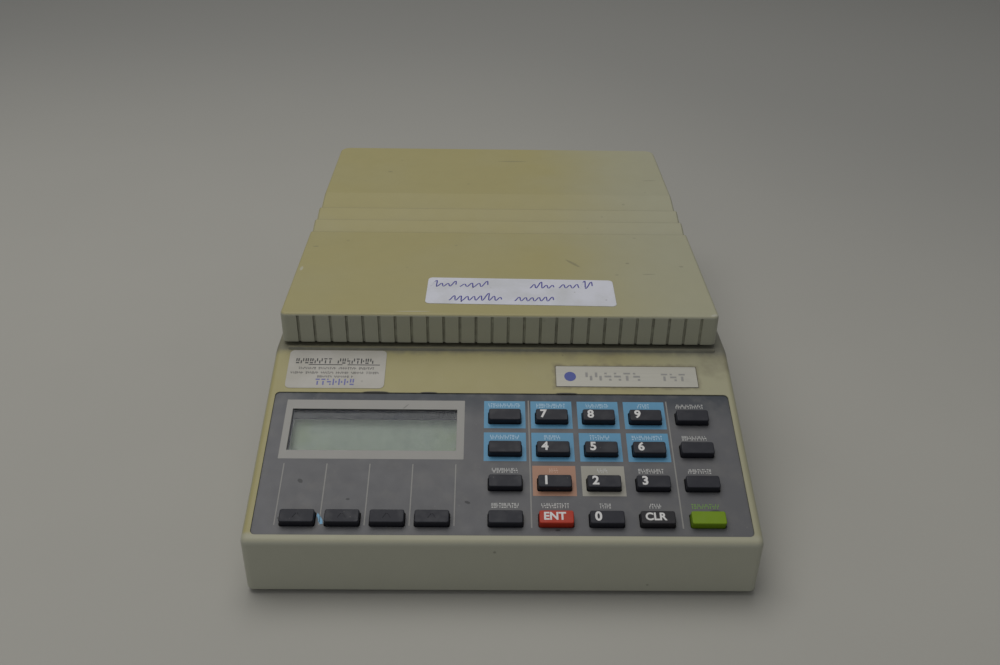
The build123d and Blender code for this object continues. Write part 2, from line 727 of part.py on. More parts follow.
def lcd_board():
    """The display's own circuit board with its two driver chips."""
    bottom = LCD_BOARD_TOP - BOARD_T
    board = tile(LCD_BOARD, bottom, LCD_BOARD_TOP, BOARD_CORNER)
    left, right, near, far = LCD_BOARD
    centre_v = (near + far) / 2
    half = DRIVER_SIZE / 2
    for share in (0.3, 0.7):
        u = left + (right - left) * share
        board += tile((u - half, u + half, centre_v - half, centre_v + half), bottom - DRIVER_T, bottom)
    for u, v in corners(LCD_BOARD, LCD_SCREW_INSET):
        board -= rod(u, v, bottom - 1, LCD_BOARD_TOP + 1, MACHINE_SCREW_R + BOARD_HOLE_FIT)
    return PANEL * board


# ---------------------------------------------------------------- labels
def nameplate():
    """A small plain plate in the recess at the right of the deck."""
    floor = PANEL_RECESS - NAMEPLATE_RECESS
    return PANEL * tile(NAMEPLATE, floor, floor + NAMEPLATE_T, PLATE_CORNER)


def service_label():
    """The white sticker at the left of the deck."""
    return PANEL * tile(SERVICE_LABEL, PANEL_RECESS, PANEL_RECESS + LABEL_T, LABEL_CORNER)


def platform_label():
    """The hand-written sticker on the platform."""
    x, y = PLATFORM_LABEL_CENTRE
    outline = RectangleRounded(*PLATFORM_LABEL_SIZE, LABEL_CORNER)
    return Pos(x, y, TRAY_TOP) * Rot(0, 0, PLATFORM_LABEL_TURN) * extrude(outline, LABEL_T)


# ---------------------------------------------------------------- weighing platform
def tray_blank():
    """The platform's outer block, with its rounded uprights."""
    half = TRAY_WIDTH / 2
    body = block(-half, half, TRAY_FRONT_Y, TRAY_BACK_Y, TRAY_SKIRT_Z, TRAY_TOP)
    uprights = body.edges().filter_by(Axis.Z).sort_by(Axis.Y)
    body = fillet(uprights[:2], TRAY_FRONT_CORNER)
    uprights = body.edges().filter_by(Axis.Z).sort_by(Axis.Y)
    return fillet(uprights[-2:], TRAY_BACK_CORNER)


def step_cutters():
    """The sawtooth cut from the top: three ramps falling forward, each ending in a riser."""
    floor = TRAY_TOP - STEP_DEPTH
    above = TRAY_TOP + 1
    ramp_starts = STEP_RISERS[1:] + (STEP_START_Y,)
    cutters = []
    for riser, start in zip(STEP_RISERS, ramp_starts):
        ramp = [(riser, floor), (riser, above), (start, above), (start, TRAY_TOP)]
        cutters.append(prism_yz(ramp, TRAY_WIDTH))
        cutters += ramp_roundings(riser, start)
    return cutters


def ramp_roundings(riser, start):
    """The cuts that bevel a ramp's two side edges, as deep as the rest of the top is rounded."""
    floor = TRAY_TOP - STEP_DEPTH
    half = TRAY_WIDTH / 2
    cuts = []
    for side in (-1, 1):
        rows = []
        for y, z in ((riser, floor), (start, TRAY_TOP)):
            section = Polyline(
                (side * (half - RAMP_BEVEL), z),
                (side * (half - RAMP_BEVEL), z + 1),
                (side * (half + 1), z + 1),
                (side * (half + 1), z - RAMP_BEVEL),
                (side * half, z - RAMP_BEVEL),
                close=True,
            )
            rows.append(Pos(0, y, 0) * Rot(90, 0, 0) * make_face(section))
        cuts.append(loft(rows))
    return cuts


def tray_grooves():
    """The tapered grooves between the ribs of the front skirt."""
    mouth = GROOVE_WIDTH / 2
    root = GROOVE_WIDTH / 4
    plan = Polyline(
        (-mouth, TRAY_FRONT_Y - 1),
        (-mouth, TRAY_FRONT_Y),
        (-root, TRAY_FRONT_Y + GROOVE_DEPTH),
        (root, TRAY_FRONT_Y + GROOVE_DEPTH),
        (mouth, TRAY_FRONT_Y),
        (mouth, TRAY_FRONT_Y - 1),
        close=True,
    )
    bottom = TRAY_SKIRT_Z - 1
    groove = Pos(0, 0, bottom) * extrude(make_face(plan), TRAY_TOP - GROOVE_TOP_GAP - bottom)
    first = -GROOVE_PITCH * (GROOVE_COUNT - 1) / 2
    return [Pos(first + GROOVE_PITCH * i, 0, 0) * groove for i in range(GROOVE_COUNT)]


def pad_spots():
    return [(sx * PAD_X, TRAY_Y + sy * PAD_Y) for sx in (-1, 1) for sy in (-1, 1)]


def platform_tray():
    """The loose plastic platform: ribbed front skirt, stepped top, sockets for the pads."""
    body = fillet(tray_blank().faces().sort_by(Axis.Z)[-1].edges(), TRAY_EDGE)
    half = TRAY_WIDTH / 2 - TRAY_WALL
    inside = (-half, half, TRAY_FRONT_Y + TRAY_WALL, TRAY_BACK_Y - TRAY_WALL)
    body -= tile(inside, TRAY_SKIRT_Z - 1, TRAY_ROOF_Z, TRAY_INNER_CORNER)
    backing_start = STEP_RISERS[0] - STEP_BACKING_MARGIN
    backing_end = STEP_START_Y + STEP_BACKING_MARGIN
    body += block(-half - 1, half + 1, backing_start, backing_end, STEP_BACKING_Z, TRAY_ROOF_Z + 1)
    for cutter in step_cutters() + tray_grooves():
        body -= cutter
    low = TRAY_ROOF_Z - STIFFENER_DEPTH
    for side in (-1, 1):
        x0 = side * STIFFENER_X - STIFFENER_T / 2
        body += block(x0, x0 + STIFFENER_T, inside[2] - 1, backing_start + 1, low, TRAY_ROOF_Z + 1)
        body += block(x0, x0 + STIFFENER_T, backing_end - 1, inside[3] + 1, low, TRAY_ROOF_Z + 1)
    body = Pos(TRAY_X, 0, 0) * body
    socket_r = PAD_RADIUS + SOCKET_FIT
    for x, y in pad_spots():
        body += rod(x, y, TRAY_ROOF_Z - SOCKET_DEPTH, TRAY_ROOF_Z + 1, socket_r + SOCKET_WALL)
        body -= rod(x, y, TRAY_ROOF_Z - SOCKET_DEPTH - 1, TRAY_ROOF_Z, socket_r)
    return body


def platform_carrier():
    """The cast cross that the load cell lifts, with a rib along each arm."""
    angle = degrees(atan2(PAD_Y, PAD_X))
    reach = 2 * hypot(PAD_X, PAD_Y)
    rib_length = reach - 2 * (PAD_RADIUS + RIB_END_GAP)
    centre = Pos(0, TRAY_Y, CARRIER_Z)
    body = centre * extrude(RectangleRounded(HUB_WIDTH, HUB_LENGTH, HUB_CORNER), CARRIER_T)
    for turn in (-angle, angle):
        arm = centre * Rot(0, 0, turn) * extrude(SlotCenterToCenter(reach, CARRIER_ARM), CARRIER_T)
        rib = centre * Pos(0, 0, CARRIER_T) * Rot(0, 0, turn) * Box(rib_length, RIB_T, 2 * CARRIER_RIB)
        body += arm + rib
    body -= tile(HUB_WINDOW, CARRIER_Z - 1, CARRIER_TOP + CARRIER_RIB + 1, HUB_CORNER)
    for y in FRONT_SCREWS:
        body -= rod(0, y, CARRIER_Z - 1, CARRIER_TOP + 1, CELL_SCREW_R + SCREW_FIT)
    for x, y in pad_spots():
        body -= rod(x, y, CARRIER_Z - 1, CARRIER_TOP + 1, PAD_PLUG_R + SCREW_FIT)
    return body


def carrier_pads():
    """Four rubber pads plugged into the ends of the carrier's arms."""
    pads = []
    for x, y in pad_spots():
        pad = rod(x, y, CARRIER_TOP, TRAY_ROOF_Z, PAD_RADIUS)
        pad = fillet(pad.edges().sort_by(Axis.Z)[-1], PAD_ROUND)
        pads.append(pad + rod(x, y, CARRIER_Z + PAD_ROUND, CARRIER_TOP + PAD_ROUND, PAD_PLUG_R))
    return Compound(children=pads)


# ---------------------------------------------------------------- weighing mechanism
def load_cell():
    """An aluminium bending beam with its two thinned webs."""
    half = CELL_WIDTH / 2
    beam = block(-half, half, CELL_FRONT, CELL_BACK, CELL_Z, CELL_TOP)
    mid_z = CELL_Z + CELL_HEIGHT / 2
    slot = SlotCenterToCenter(2 * CELL_HOLE_SPREAD, CELL_SLOT)
    cutter = extrude(Plane.YZ * Pos(TRAY_Y, mid_z) * slot, CELL_WIDTH, both=True)
    for side in (-1, 1):
        hole = Plane.YZ * Pos(TRAY_Y + side * CELL_HOLE_SPREAD, mid_z) * Circle(CELL_HOLE_R)
        cutter += extrude(hole, CELL_WIDTH, both=True)
    beam -= cutter
    tapped = CELL_SCREW_R + SCREW_FIT
    depth = CELL_SCREW_GRIP + CELL_SCREW_R
    for y in REAR_SCREWS:
        beam -= rod(0, y, CELL_Z - 1, CELL_Z + depth, tapped)
    for y in FRONT_SCREWS:
        beam -= rod(0, y, CELL_TOP - depth, CELL_TOP + 1, tapped)
    return beam


def strain_gauges():
    """Four foil gauges over the thinned webs, two above and two below."""
    width, length, thick = GAUGE_SIZE
    gauges = []
    for side in (-1, 1):
        y = TRAY_Y + side * CELL_HOLE_SPREAD
        spans = ((CELL_TOP, CELL_TOP + thick), (CELL_Z - thick, CELL_Z))
        for low, high in spans:
            gauges.append(block(-width / 2, width / 2, y - length / 2, y + length / 2, low, high))
    return Compound(children=gauges)


def cell_packing(y0, y1, z0, z1, screws):
    """A block bolted between the load cell and its neighbour."""
    half = CELL_WIDTH / 2
    packing = block(-half, half, y0, y1, z0, z1)
    for y in screws:
        packing -= rod(0, y, z0 - 1, z1 + 1, CELL_SCREW_R + SCREW_FIT)
    return packing


def load_cell_spacer():
    """Lifts the fixed end off the chassis."""
    return cell_packing(CELL_BACK - CELL_END, CELL_BACK, CHASSIS_Z + CHASSIS_T, CELL_Z, REAR_SCREWS)


def load_cell_riser():
    """Carries the cross above the deck on the free end."""
    return cell_packing(CELL_FRONT, CELL_FRONT + CELL_END, CELL_TOP, CARRIER_Z, FRONT_SCREWS)


def socket_screw(length):
    """A low-headed hexagon socket screw pointing down from z = 0."""
    head = Pos(0, 0, CELL_SCREW_HEAD / 2) * Cylinder(CELL_SCREW_HEAD_R, CELL_SCREW_HEAD)
    head = chamfer(head.edges().sort_by(Axis.Z)[-1], CELL_HEAD_CHAMFER)
    socket = extrude(RegularPolygon(CELL_SOCKET_R, 6), CELL_SCREW_HEAD)
    head -= Pos(0, 0, CELL_SCREW_HEAD * 0.4) * socket
    return head + Pos(0, 0, -length / 2) * Cylinder(CELL_SCREW_R, length)


def load_cell_lower_screws():
    """Two screws up through the chassis into the fixed end."""
    length = CHASSIS_T + SPACER_T + CELL_SCREW_GRIP
    screw = Rot(180, 0, 0) * socket_screw(length)
    return Compound(children=[Pos(0, y, CHASSIS_Z) * screw for y in REAR_SCREWS])


def load_cell_upper_screws():
    """Two screws down through the carrier and riser into the free end."""
    length = CARRIER_TOP - CELL_TOP + CELL_SCREW_GRIP
    screw = socket_screw(length)
    return Compound(children=[Pos(0, y, CARRIER_TOP) * screw for y in FRONT_SCREWS])


def overload_stops():
    """Two set screws in the chassis that catch the free end."""
    stops = []
    for side in (-1, 1):
        x = side * STOP_X
        stud = rod(x, STOP_Y, CHASSIS_Z - STOP_RADIUS, CELL_Z - STOP_GAP, STOP_RADIUS)
        stud = chamfer(stud.edges().sort_by(Axis.Z)[-1], STOP_CHAMFER)
        nut = extrude(RegularPolygon(STOP_NUT_R, 6), STOP_NUT_T)
        stops.append(stud + Pos(x, STOP_Y, CHASSIS_Z + CHASSIS_T) * nut)
    return Compound(children=stops)


def chassis_plate():
    """A folded steel channel that ties the load cell to the bottom tray."""
    half = CHASSIS_HALF_WIDTH
    front = CELL_FRONT - CHASSIS_END_GAP
    back = CELL_BACK + CHASSIS_END_GAP
    top = CHASSIS_Z + CHASSIS_T
    plate = block(-half, half, front, back, CHASSIS_Z, top)
    for side in (-1, 1):
        inner = side * (half - CHASSIS_T)
        outer = side * half
        plate += block(min(inner, outer), max(inner, outer), front, back, CHASSIS_Z, top + CHASSIS_FLANGE)
    for x, y in chassis_spots():
        plate -= rod(x, y, CHASSIS_Z - 1, top + 1, MACHINE_SCREW_R + BOARD_HOLE_FIT)
    for y in REAR_SCREWS:
        plate -= rod(0, y, CHASSIS_Z - 1, top + 1, CELL_SCREW_R + SCREW_FIT)
    for side in (-1, 1):
        plate -= rod(side * STOP_X, STOP_Y, CHASSIS_Z - 1, top + 1, STOP_RADIUS + SCREW_FIT)
    return plate


# ---------------------------------------------------------------- electronics
def main_board():
    """The main circuit board with its two cable headers."""
    board = tile(MAIN_BOARD, MAIN_BOARD_Z, MAIN_BOARD_TOP, BOARD_CORNER)
    for x, y in main_board_spots():
        board -= rod(x, y, MAIN_BOARD_Z - 1, MAIN_BOARD_TOP + 1, MACHINE_SCREW_R + BOARD_HOLE_FIT)
    near = MAIN_BOARD[2] + 1
    half = HEADER_WIDTH / 2
    ribbon_socket = (RIBBON_X - half, RIBBON_X + half, near, near + HEADER_DEPTH)
    for area in (ribbon_socket, CELL_SOCKET):
        board += tile(area, MAIN_BOARD_TOP, MAIN_BOARD_TOP + SOCKET_HEIGHT)
    return board


def dual_in_line(x, length, pins, standing):
    """A chip with two rows of legs standing in the board; its length lies along Y."""
    low = MAIN_BOARD_TOP + standing
    shoulder = low + CHIP_T / 2
    area = (x - CHIP_WIDTH / 2, x + CHIP_WIDTH / 2, CHIP_Y - length / 2, CHIP_Y + length / 2)
    body = tile(area, low, low + CHIP_T)
    for i in range(pins // 2):
        y = CHIP_Y + (i - (pins / 2 - 1) / 2) * PIN_PITCH
        leg = block(LEG_X - LEG_T, LEG_X, y - LEG_T, y + LEG_T, MAIN_BOARD_TOP, shoulder)
        leg += block(CHIP_WIDTH / 2 - LEG_T, LEG_X, y - LEG_T, y + LEG_T, shoulder - LEG_T, shoulder)
        body += Pos(x, 0, 0) * leg
        body += Pos(x, 0, 0) * mirror(leg, Plane.YZ)
    return body - rod(x, area[3], shoulder + CHIP_T / 4, low + CHIP_T + 1, NOTCH_R)


def processor_chip():
    return dual_in_line(PROCESSOR_X, PROCESSOR_LENGTH, PROCESSOR_PINS, CHIP_STANDING)


def rate_memory_chip():
    """The pluggable chip that holds the postage rates, with its socket under it."""
    half_width = LEG_X + 2 * CHIP_SOCKET_MARGIN
    half_length = MEMORY_LENGTH / 2 + CHIP_SOCKET_MARGIN
    area = (MEMORY_X - half_width, MEMORY_X + half_width, CHIP_Y - half_length, CHIP_Y + half_length)
    socket = tile(area, MAIN_BOARD_TOP, MAIN_BOARD_TOP + CHIP_SOCKET_HEIGHT)
    chip = dual_in_line(MEMORY_X, MEMORY_LENGTH, MEMORY_PINS, CHIP_SOCKET_HEIGHT - REST_GAP)
    return chip + socket


def capacitors():
    """Three upright smoothing capacitors."""
    cans = []
    for x, y, radius, height in CAPACITORS:
        can = rod(x, y, MAIN_BOARD_TOP, MAIN_BOARD_TOP + height, radius)
        cans.append(fillet(can.edges().sort_by(Axis.Z)[-1], CAN_ROUND))
    return Compound(children=cans)


def voltage_regulator():
    """A tabbed regulator standing on its three legs at the power end of the board."""
    half = REGULATOR_WIDTH / 2
    front = REGULATOR_Y - REGULATOR_T / 2
    back = REGULATOR_Y + REGULATOR_T / 2
    low = MAIN_BOARD_TOP + REGULATOR_STANDING
    high = low + REGULATOR_HEIGHT
    left = REGULATOR_X - half
    right = REGULATOR_X + half
    body = block(left, right, front, back, low, high)
    tab = block(left, right, back - TAB_T, back, high - 1, high + TAB_HEIGHT)
    hole = Plane.XZ * Pos(REGULATOR_X, high + TAB_HEIGHT / 2) * Circle(TAB_HOLE_R)
    tab -= extrude(hole, 2 * REGULATOR_Y, both=True)
    for i in (-1, 0, 1):
        x = REGULATOR_X + i * PIN_PITCH
        body += block(x - LEG_T, x + LEG_T, REGULATOR_Y, REGULATOR_Y + 2 * LEG_T, MAIN_BOARD_TOP, low + 1)
    return body + tab


def power_jack():
    """The low-voltage power socket, open to the back."""
    face = BASE_BACK_Y - WALL - REST_GAP
    half = JACK_WIDTH / 2
    top = MAIN_BOARD_TOP + JACK_HEIGHT
    body = block(JACK_X - half, JACK_X + half, face - JACK_LENGTH, face, MAIN_BOARD_TOP, top)
    body += extrude(back_plane(JACK_X, JACK_Z, face) * Circle(JACK_COLLAR_R), WALL - REST_GAP)
    mouth = back_plane(JACK_X, JACK_Z, face + WALL)
    body -= extrude(mouth * Circle(JACK_BORE_R), -WALL - JACK_BORE_DEPTH)
    pin_root = back_plane(JACK_X, JACK_Z, face - JACK_BORE_DEPTH - REST_GAP)
    return body + extrude(pin_root * Circle(JACK_PIN_R), JACK_BORE_DEPTH)


def serial_connector():
    """A nine-way D connector that reaches out through the back wall."""
    face = BASE_BACK_Y - WALL - REST_GAP
    left = SERIAL_X - SERIAL_FLANGE / 2
    right = SERIAL_X + SERIAL_FLANGE / 2
    half_height = SERIAL_HEIGHT / 2
    body = block(left, right, face - 1, face, SERIAL_Z - half_height, SERIAL_Z + half_height)
    left = SERIAL_X - SERIAL_BODY / 2
    right = SERIAL_X + SERIAL_BODY / 2
    body += block(left, right, face - SERIAL_DEPTH, face, MAIN_BOARD_TOP, SERIAL_Z + half_height - 1)
    body += extrude(back_plane(SERIAL_X, SERIAL_Z, face) * serial_outline(0), WALL + SERIAL_PROUD)
    contacts = back_plane(SERIAL_X, SERIAL_Z, face + WALL + SERIAL_PROUD)
    for row, count in ((CONTACT_ROW, 5), (-CONTACT_ROW, 4)):
        for i in range(count):
            x = (i - (count - 1) / 2) * CONTACT_PITCH
            body -= extrude(contacts * Pos(x, row) * Circle(CONTACT_R), -SERIAL_PROUD)
    return body


def ribbon_cable():
    """The flat cable that drops from the keypad board to the main board."""
    header_bottom = PAD_BOARD_TOP - BOARD_T - HEADER_HEIGHT - RIBBON_T / 2 - REST_GAP
    start = (PANEL * Pos(0, RIBBON_V - HEADER_DEPTH / 2, header_bottom)).position
    bend = (PANEL * Pos(0, RIBBON_V + HEADER_DEPTH, header_bottom)).position
    landing_z = MAIN_BOARD_TOP + SOCKET_HEIGHT + RIBBON_T / 2 + REST_GAP
    low_z = FLOOR_TOP + RIBBON_FLOOR_GAP
    board_edge = MAIN_BOARD[2]
    path = FilletPolyline(
        (start.Y, start.Z),
        (bend.Y, bend.Z),
        (bend.Y + RIBBON_SWING, low_z),
        (board_edge - 2 * RIBBON_CLIMB, low_z),
        (board_edge - RIBBON_CLIMB, landing_z),
        (board_edge + HEADER_DEPTH, landing_z),
        radius=RIBBON_BEND,
    )
    strip = extrude(Plane.YZ * trace(path, RIBBON_T), RIBBON_WIDTH / 2, both=True)
    return Pos(RIBBON_X, 0, 0) * strip


def load_cell_cable():
    """The round cable from the load cell's side to the main board."""
    start_y = CELL_BACK - CELL_END - CELL_CABLE_INSET
    height = CELL_Z + CELL_CABLE_HEIGHT
    left, right, near, far = CELL_SOCKET
    landing = ((left + right) / 2, (near + far) / 2, MAIN_BOARD_TOP + SOCKET_HEIGHT + 1)
    path = Spline(
        (-CELL_WIDTH / 2 - REST_GAP, start_y, height),
        (-CHASSIS_HALF_WIDTH + CELL_CABLE_CLEAR, start_y - CELL_CABLE_SWING, height),
        landing,
        tangents=[(-1, 0, 0), (0, -0.2, -1)],
    )
    profile = Plane(origin=path @ 0, z_dir=path % 0) * Circle(CELL_CABLE_R)
    return sweep(profile, path)


# ---------------------------------------------------------------- the set of parts
def build_parts():
    """Every node by name."""
    makers = (
        upper_case,
        lower_case,
        case_screws,
        rubber_feet,
        machine_screws,
        panel_overlay,
        display_bezel,
        display_window,
        lcd_frame,
        lcd_glass,
        lcd_board,
        keypad_mat,
        keypad_board,
        nameplate,
        service_label,
        platform_label,
        platform_tray,
        platform_carrier,
        carrier_pads,
        load_cell,
        strain_gauges,
        load_cell_spacer,
        load_cell_riser,
        load_cell_lower_screws,
        load_cell_upper_screws,
        overload_stops,
        chassis_plate,
        main_board,
        processor_chip,
        rate_memory_chip,
        capacitors,
        voltage_regulator,
        power_jack,
        serial_connector,
        ribbon_cable,
        load_cell_cable,
    )
    parts = {maker.__name__: maker() for maker in makers}
    for name, u, v in main_key_places():
        parts[name] = PANEL * key(u, v)
    for name, u, v in soft_key_places():
        parts[name] = PANEL * soft_key(u, v)
    return parts


os.makedirs("parts", exist_ok=True)
for node, shape in build_parts().items():
    export_step(shape, f"parts/{node}.step")
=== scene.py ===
import json
import math
import random

import bmesh
import bpy
from mathutils import Matrix, Vector
from mathutils.geometry import tessellate_polygon


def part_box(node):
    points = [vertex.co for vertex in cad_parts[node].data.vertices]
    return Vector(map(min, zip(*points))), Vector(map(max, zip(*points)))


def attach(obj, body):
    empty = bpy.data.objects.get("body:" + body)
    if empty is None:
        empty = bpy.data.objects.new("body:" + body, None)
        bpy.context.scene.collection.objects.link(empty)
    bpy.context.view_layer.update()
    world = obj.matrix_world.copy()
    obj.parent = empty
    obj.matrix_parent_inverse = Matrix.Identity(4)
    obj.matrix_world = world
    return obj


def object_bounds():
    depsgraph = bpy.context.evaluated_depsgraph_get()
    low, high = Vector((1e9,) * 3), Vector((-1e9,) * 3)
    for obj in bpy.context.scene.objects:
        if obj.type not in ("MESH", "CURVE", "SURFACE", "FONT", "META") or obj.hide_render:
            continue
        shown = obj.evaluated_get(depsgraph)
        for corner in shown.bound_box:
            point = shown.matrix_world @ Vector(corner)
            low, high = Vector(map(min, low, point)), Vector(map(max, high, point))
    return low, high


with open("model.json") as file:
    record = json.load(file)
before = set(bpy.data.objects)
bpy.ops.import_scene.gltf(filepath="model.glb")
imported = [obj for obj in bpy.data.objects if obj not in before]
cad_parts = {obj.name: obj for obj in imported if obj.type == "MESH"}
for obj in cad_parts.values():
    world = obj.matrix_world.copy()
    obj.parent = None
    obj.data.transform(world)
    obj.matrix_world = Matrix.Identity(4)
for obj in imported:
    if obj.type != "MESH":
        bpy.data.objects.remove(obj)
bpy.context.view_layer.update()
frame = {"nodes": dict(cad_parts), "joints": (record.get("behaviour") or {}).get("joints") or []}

MM = 0.001

# ------------------------ places taken from the frame
# Everything but the lights is in millimetres until it is written into a mesh or the camera.
# Panel frame: u across, v up the slope, w out of the panel, with w = 0 on the panel's face.
# The printed sheet starts at v = SHEET_FRONT_V.
SHEET_FRONT_V = -1.3
PRESS_AXIS = Vector(next(j["axis"] for j in frame["joints"] if j["name"] == "key_5_press"))
NORMAL = -PRESS_AXIS.normalized()
RISE = -NORMAL.y
RUN = NORMAL.z


def panel_matrix():
    """The panel frame, from the box of the sheet that lies in it."""
    low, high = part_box("panel_overlay")
    deep = high.y - low.y
    tall = high.z - low.z
    length = (deep * RUN - tall * RISE) / (RUN * RUN - RISE * RISE)
    across = Vector((1, 0, 0))
    upward = NORMAL.cross(across)
    front = Vector((0, low.y, high.z - length * RISE)) / MM
    origin = front - upward * SHEET_FRONT_V
    matrix = Matrix((across, upward, NORMAL)).transposed().to_4x4()
    matrix.translation = origin
    return matrix


PANEL = panel_matrix()
TO_PANEL = PANEL.inverted()
FLAT = Matrix.Identity(4)


def world_box(node):
    """(lowest corner, highest corner) of a CAD node, in millimetres."""
    low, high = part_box(node)
    return low / MM, high / MM


def panel_box(node):
    """(lowest corner, highest corner) of a CAD node in the panel frame."""
    points = [TO_PANEL @ (v.co / MM) for v in frame["nodes"][node].data.vertices]
    low = Vector([min(p[i] for p in points) for i in range(3)])
    high = Vector([max(p[i] for p in points) for i in range(3)])
    return low, high


def middle(box):
    return (box[0] + box[1]) / 2


TRAY = world_box("platform_tray")
LABEL = world_box("platform_label")
DECK_LABEL = panel_box("service_label")
NAMEPLATE = panel_box("nameplate")
WINDOW = panel_box("display_bezel")
SHEET = panel_box("panel_overlay")
KEY_ROWS = (
    ("key_left_1", "key_7", "key_8", "key_9", "key_right_1"),
    ("key_left_2", "key_4", "key_5", "key_6", "key_right_2"),
    ("key_left_3", "key_1", "key_2", "key_3", "key_right_3"),
    ("key_left_4", "key_enter", "key_0", "key_clear", "key_green"),
)
SOFT_KEYS = ("soft_key_1", "soft_key_2", "soft_key_3", "soft_key_4")
KEYS = [name for row in KEY_ROWS for name in row] + list(SOFT_KEYS)
KEY_BOX = {name: panel_box(name) for name in KEYS}
KEY_AT = {name: middle(box) for name, box in KEY_BOX.items()}
KEY_TOP = KEY_BOX["key_5"][1].z
# The opening round a key, half its width and half its length.
KEY_HOLE = (7.15, 3.25)


# ------------------------ procedural materials
class Finish:
    """One node material. Places and feature sizes are in millimetres, in the object's frame."""

    def __init__(self, name):
        self.material = bpy.data.materials.new(name)
        self.material.use_nodes = True
        self.tree = self.material.node_tree
        self.tree.nodes.clear()
        self.output = self.add("ShaderNodeOutputMaterial")
        coordinates = self.add("ShaderNodeTexCoord").outputs["Object"]
        self.place = self.vector("SCALE", coordinates, scale=1 / MM)
        self.facing = self.add("ShaderNodeNewGeometry").outputs["Normal"]

    def add(self, kind, **settings):
        node = self.tree.nodes.new(kind)
        for key, value in settings.items():
            setattr(node, key, value)
        return node

    def plug(self, value, socket):
        """Joins an output to an input, or writes a plain value into it."""
        if isinstance(value, bpy.types.NodeSocket):
            self.tree.links.new(value, socket)
        elif isinstance(value, (tuple, list)) and len(value) == 3 and socket.type == "RGBA":
            socket.default_value = (*value, 1)
        else:
            socket.default_value = value

    def math(self, operation, *values):
        node = self.add("ShaderNodeMath", operation=operation)
        for value, socket in zip(values, node.inputs):
            self.plug(value, socket)
        return node.outputs[0]

    def vector(self, operation, first, second=None, scale=None):
        node = self.add("ShaderNodeVectorMath", operation=operation)
        self.plug(first, node.inputs[0])
        if second is not None:
            self.plug(second, node.inputs[1])
        if scale is not None:
            self.plug(scale, node.inputs["Scale"])
        return node.outputs["Value" if operation == "DOT_PRODUCT" else "Vector"]

    def axes(self, vector):
        node = self.add("ShaderNodeSeparateXYZ")
        self.plug(vector, node.inputs[0])
        return node.outputs[0], node.outputs[1], node.outputs[2]

    def span(self, value, low, high):
        """0 below low, 1 above high, smooth between; low may be the larger one."""
        node = self.add("ShaderNodeMapRange", interpolation_type="SMOOTHSTEP")
        for name, number in (("Value", value), ("From Min", low), ("From Max", high)):
            self.plug(number, node.inputs[name])
        return node.outputs["Result"]

    def noise(self, size, detail=2.0, seed=0.0, stretch=(1, 1, 1)):
        """Soft noise from 0 to 1 with features of about one size, centred on 0.5."""
        node = self.add("ShaderNodeTexNoise", noise_dimensions="4D")
        self.plug(self.vector("MULTIPLY", self.place, tuple(1 / s for s in stretch)), node.inputs["Vector"])
        self.plug(seed, node.inputs["W"])
        self.plug(1 / size, node.inputs["Scale"])
        self.plug(detail, node.inputs["Detail"])
        return node.outputs[0]

    def specks(self, size, amount, seed=0.0):
        """Small round specks: 1 inside a speck. Amount is the share of cells that have one."""
        node = self.add("ShaderNodeTexVoronoi", voronoi_dimensions="4D")
        self.plug(self.place, node.inputs["Vector"])
        self.plug(seed, node.inputs["W"])
        self.plug(1 / size, node.inputs["Scale"])
        here = self.math("LESS_THAN", self.axes(node.outputs["Color"])[0], amount)
        return self.times(here, self.span(node.outputs["Distance"], 0.26, 0.12))

    def times(self, first, second):
        return self.math("MULTIPLY", first, second)

    def distance(self, value, centre):
        """How far a value is from a centre, on either side."""
        return self.math("ABSOLUTE", self.math("SUBTRACT", value, centre))

    def between(self, share, low, high):
        """Low where the share is 0, high where it is 1."""
        return self.math("MULTIPLY_ADD", share, high - low, low)

    def mix(self, share, first, second):
        node = self.add("ShaderNodeMix", data_type="RGBA")
        for value, socket in ((share, node.inputs[0]), (first, node.inputs[6]), (second, node.inputs[7])):
            self.plug(value, socket)
        return node.outputs[2]

    def stain(self, colour, tint, mask, strength):
        """A colour with a tint laid over it where the mask says so."""
        return self.mix(self.times(mask, strength), colour, tint)

    def most(self, *masks):
        """The strongest of several masks."""
        result = masks[0]
        for mask in masks[1:]:
            result = self.math("MAXIMUM", result, mask)
        return result

    def panel_place(self):
        """(u, v) of a point, in the panel frame."""
        offset = self.vector("SUBTRACT", self.place, tuple(PANEL.translation))
        return tuple(self.vector("DOT_PRODUCT", offset, tuple(PANEL.col[i][:3])) for i in range(2))

    def smudge(self, at, centre, radii, turn=0.0, ragged=0.5):
        """A mask that is 1 inside an ellipse with a ragged edge. Turn is in degrees."""
        cosine = math.cos(math.radians(turn))
        sine = math.sin(math.radians(turn))
        dx = self.math("SUBTRACT", at[0], centre[0])
        dy = self.math("SUBTRACT", at[1], centre[1])
        along = self.math("ADD", self.times(dx, cosine), self.times(dy, sine))
        across = self.math("SUBTRACT", self.times(dy, cosine), self.times(dx, sine))
        a = self.math("POWER", self.math("ABSOLUTE", self.math("DIVIDE", along, radii[0])), 2.0)
        b = self.math("POWER", self.math("ABSOLUTE", self.math("DIVIDE", across, radii[1])), 2.0)
        reach = self.math("ADD", a, b)
        torn = self.between(self.noise(min(radii) * 0.8, 3.0, centre[0]), -ragged, ragged)
        return self.span(self.math("ADD", reach, torn), 1.1, 0.5)

    def marks(self, at, marks, base=0.0):
        """Several smudges: (x, y from the base), the two half sizes and the turn of each."""
        return self.most(*[self.smudge(at, (x, base + y), radii, turn) for (x, y), radii, turn in marks])

    def scratch(self, at, start, end, width):
        """A mask along a straight line from start to end."""
        middle_at = ((start[0] + end[0]) / 2, (start[1] + end[1]) / 2)
        half = math.hypot(end[0] - start[0], end[1] - start[1]) / 2
        turn = math.degrees(math.atan2(end[1] - start[1], end[0] - start[0]))
        return self.smudge(at, middle_at, (half, width / 2), turn, 0.15)

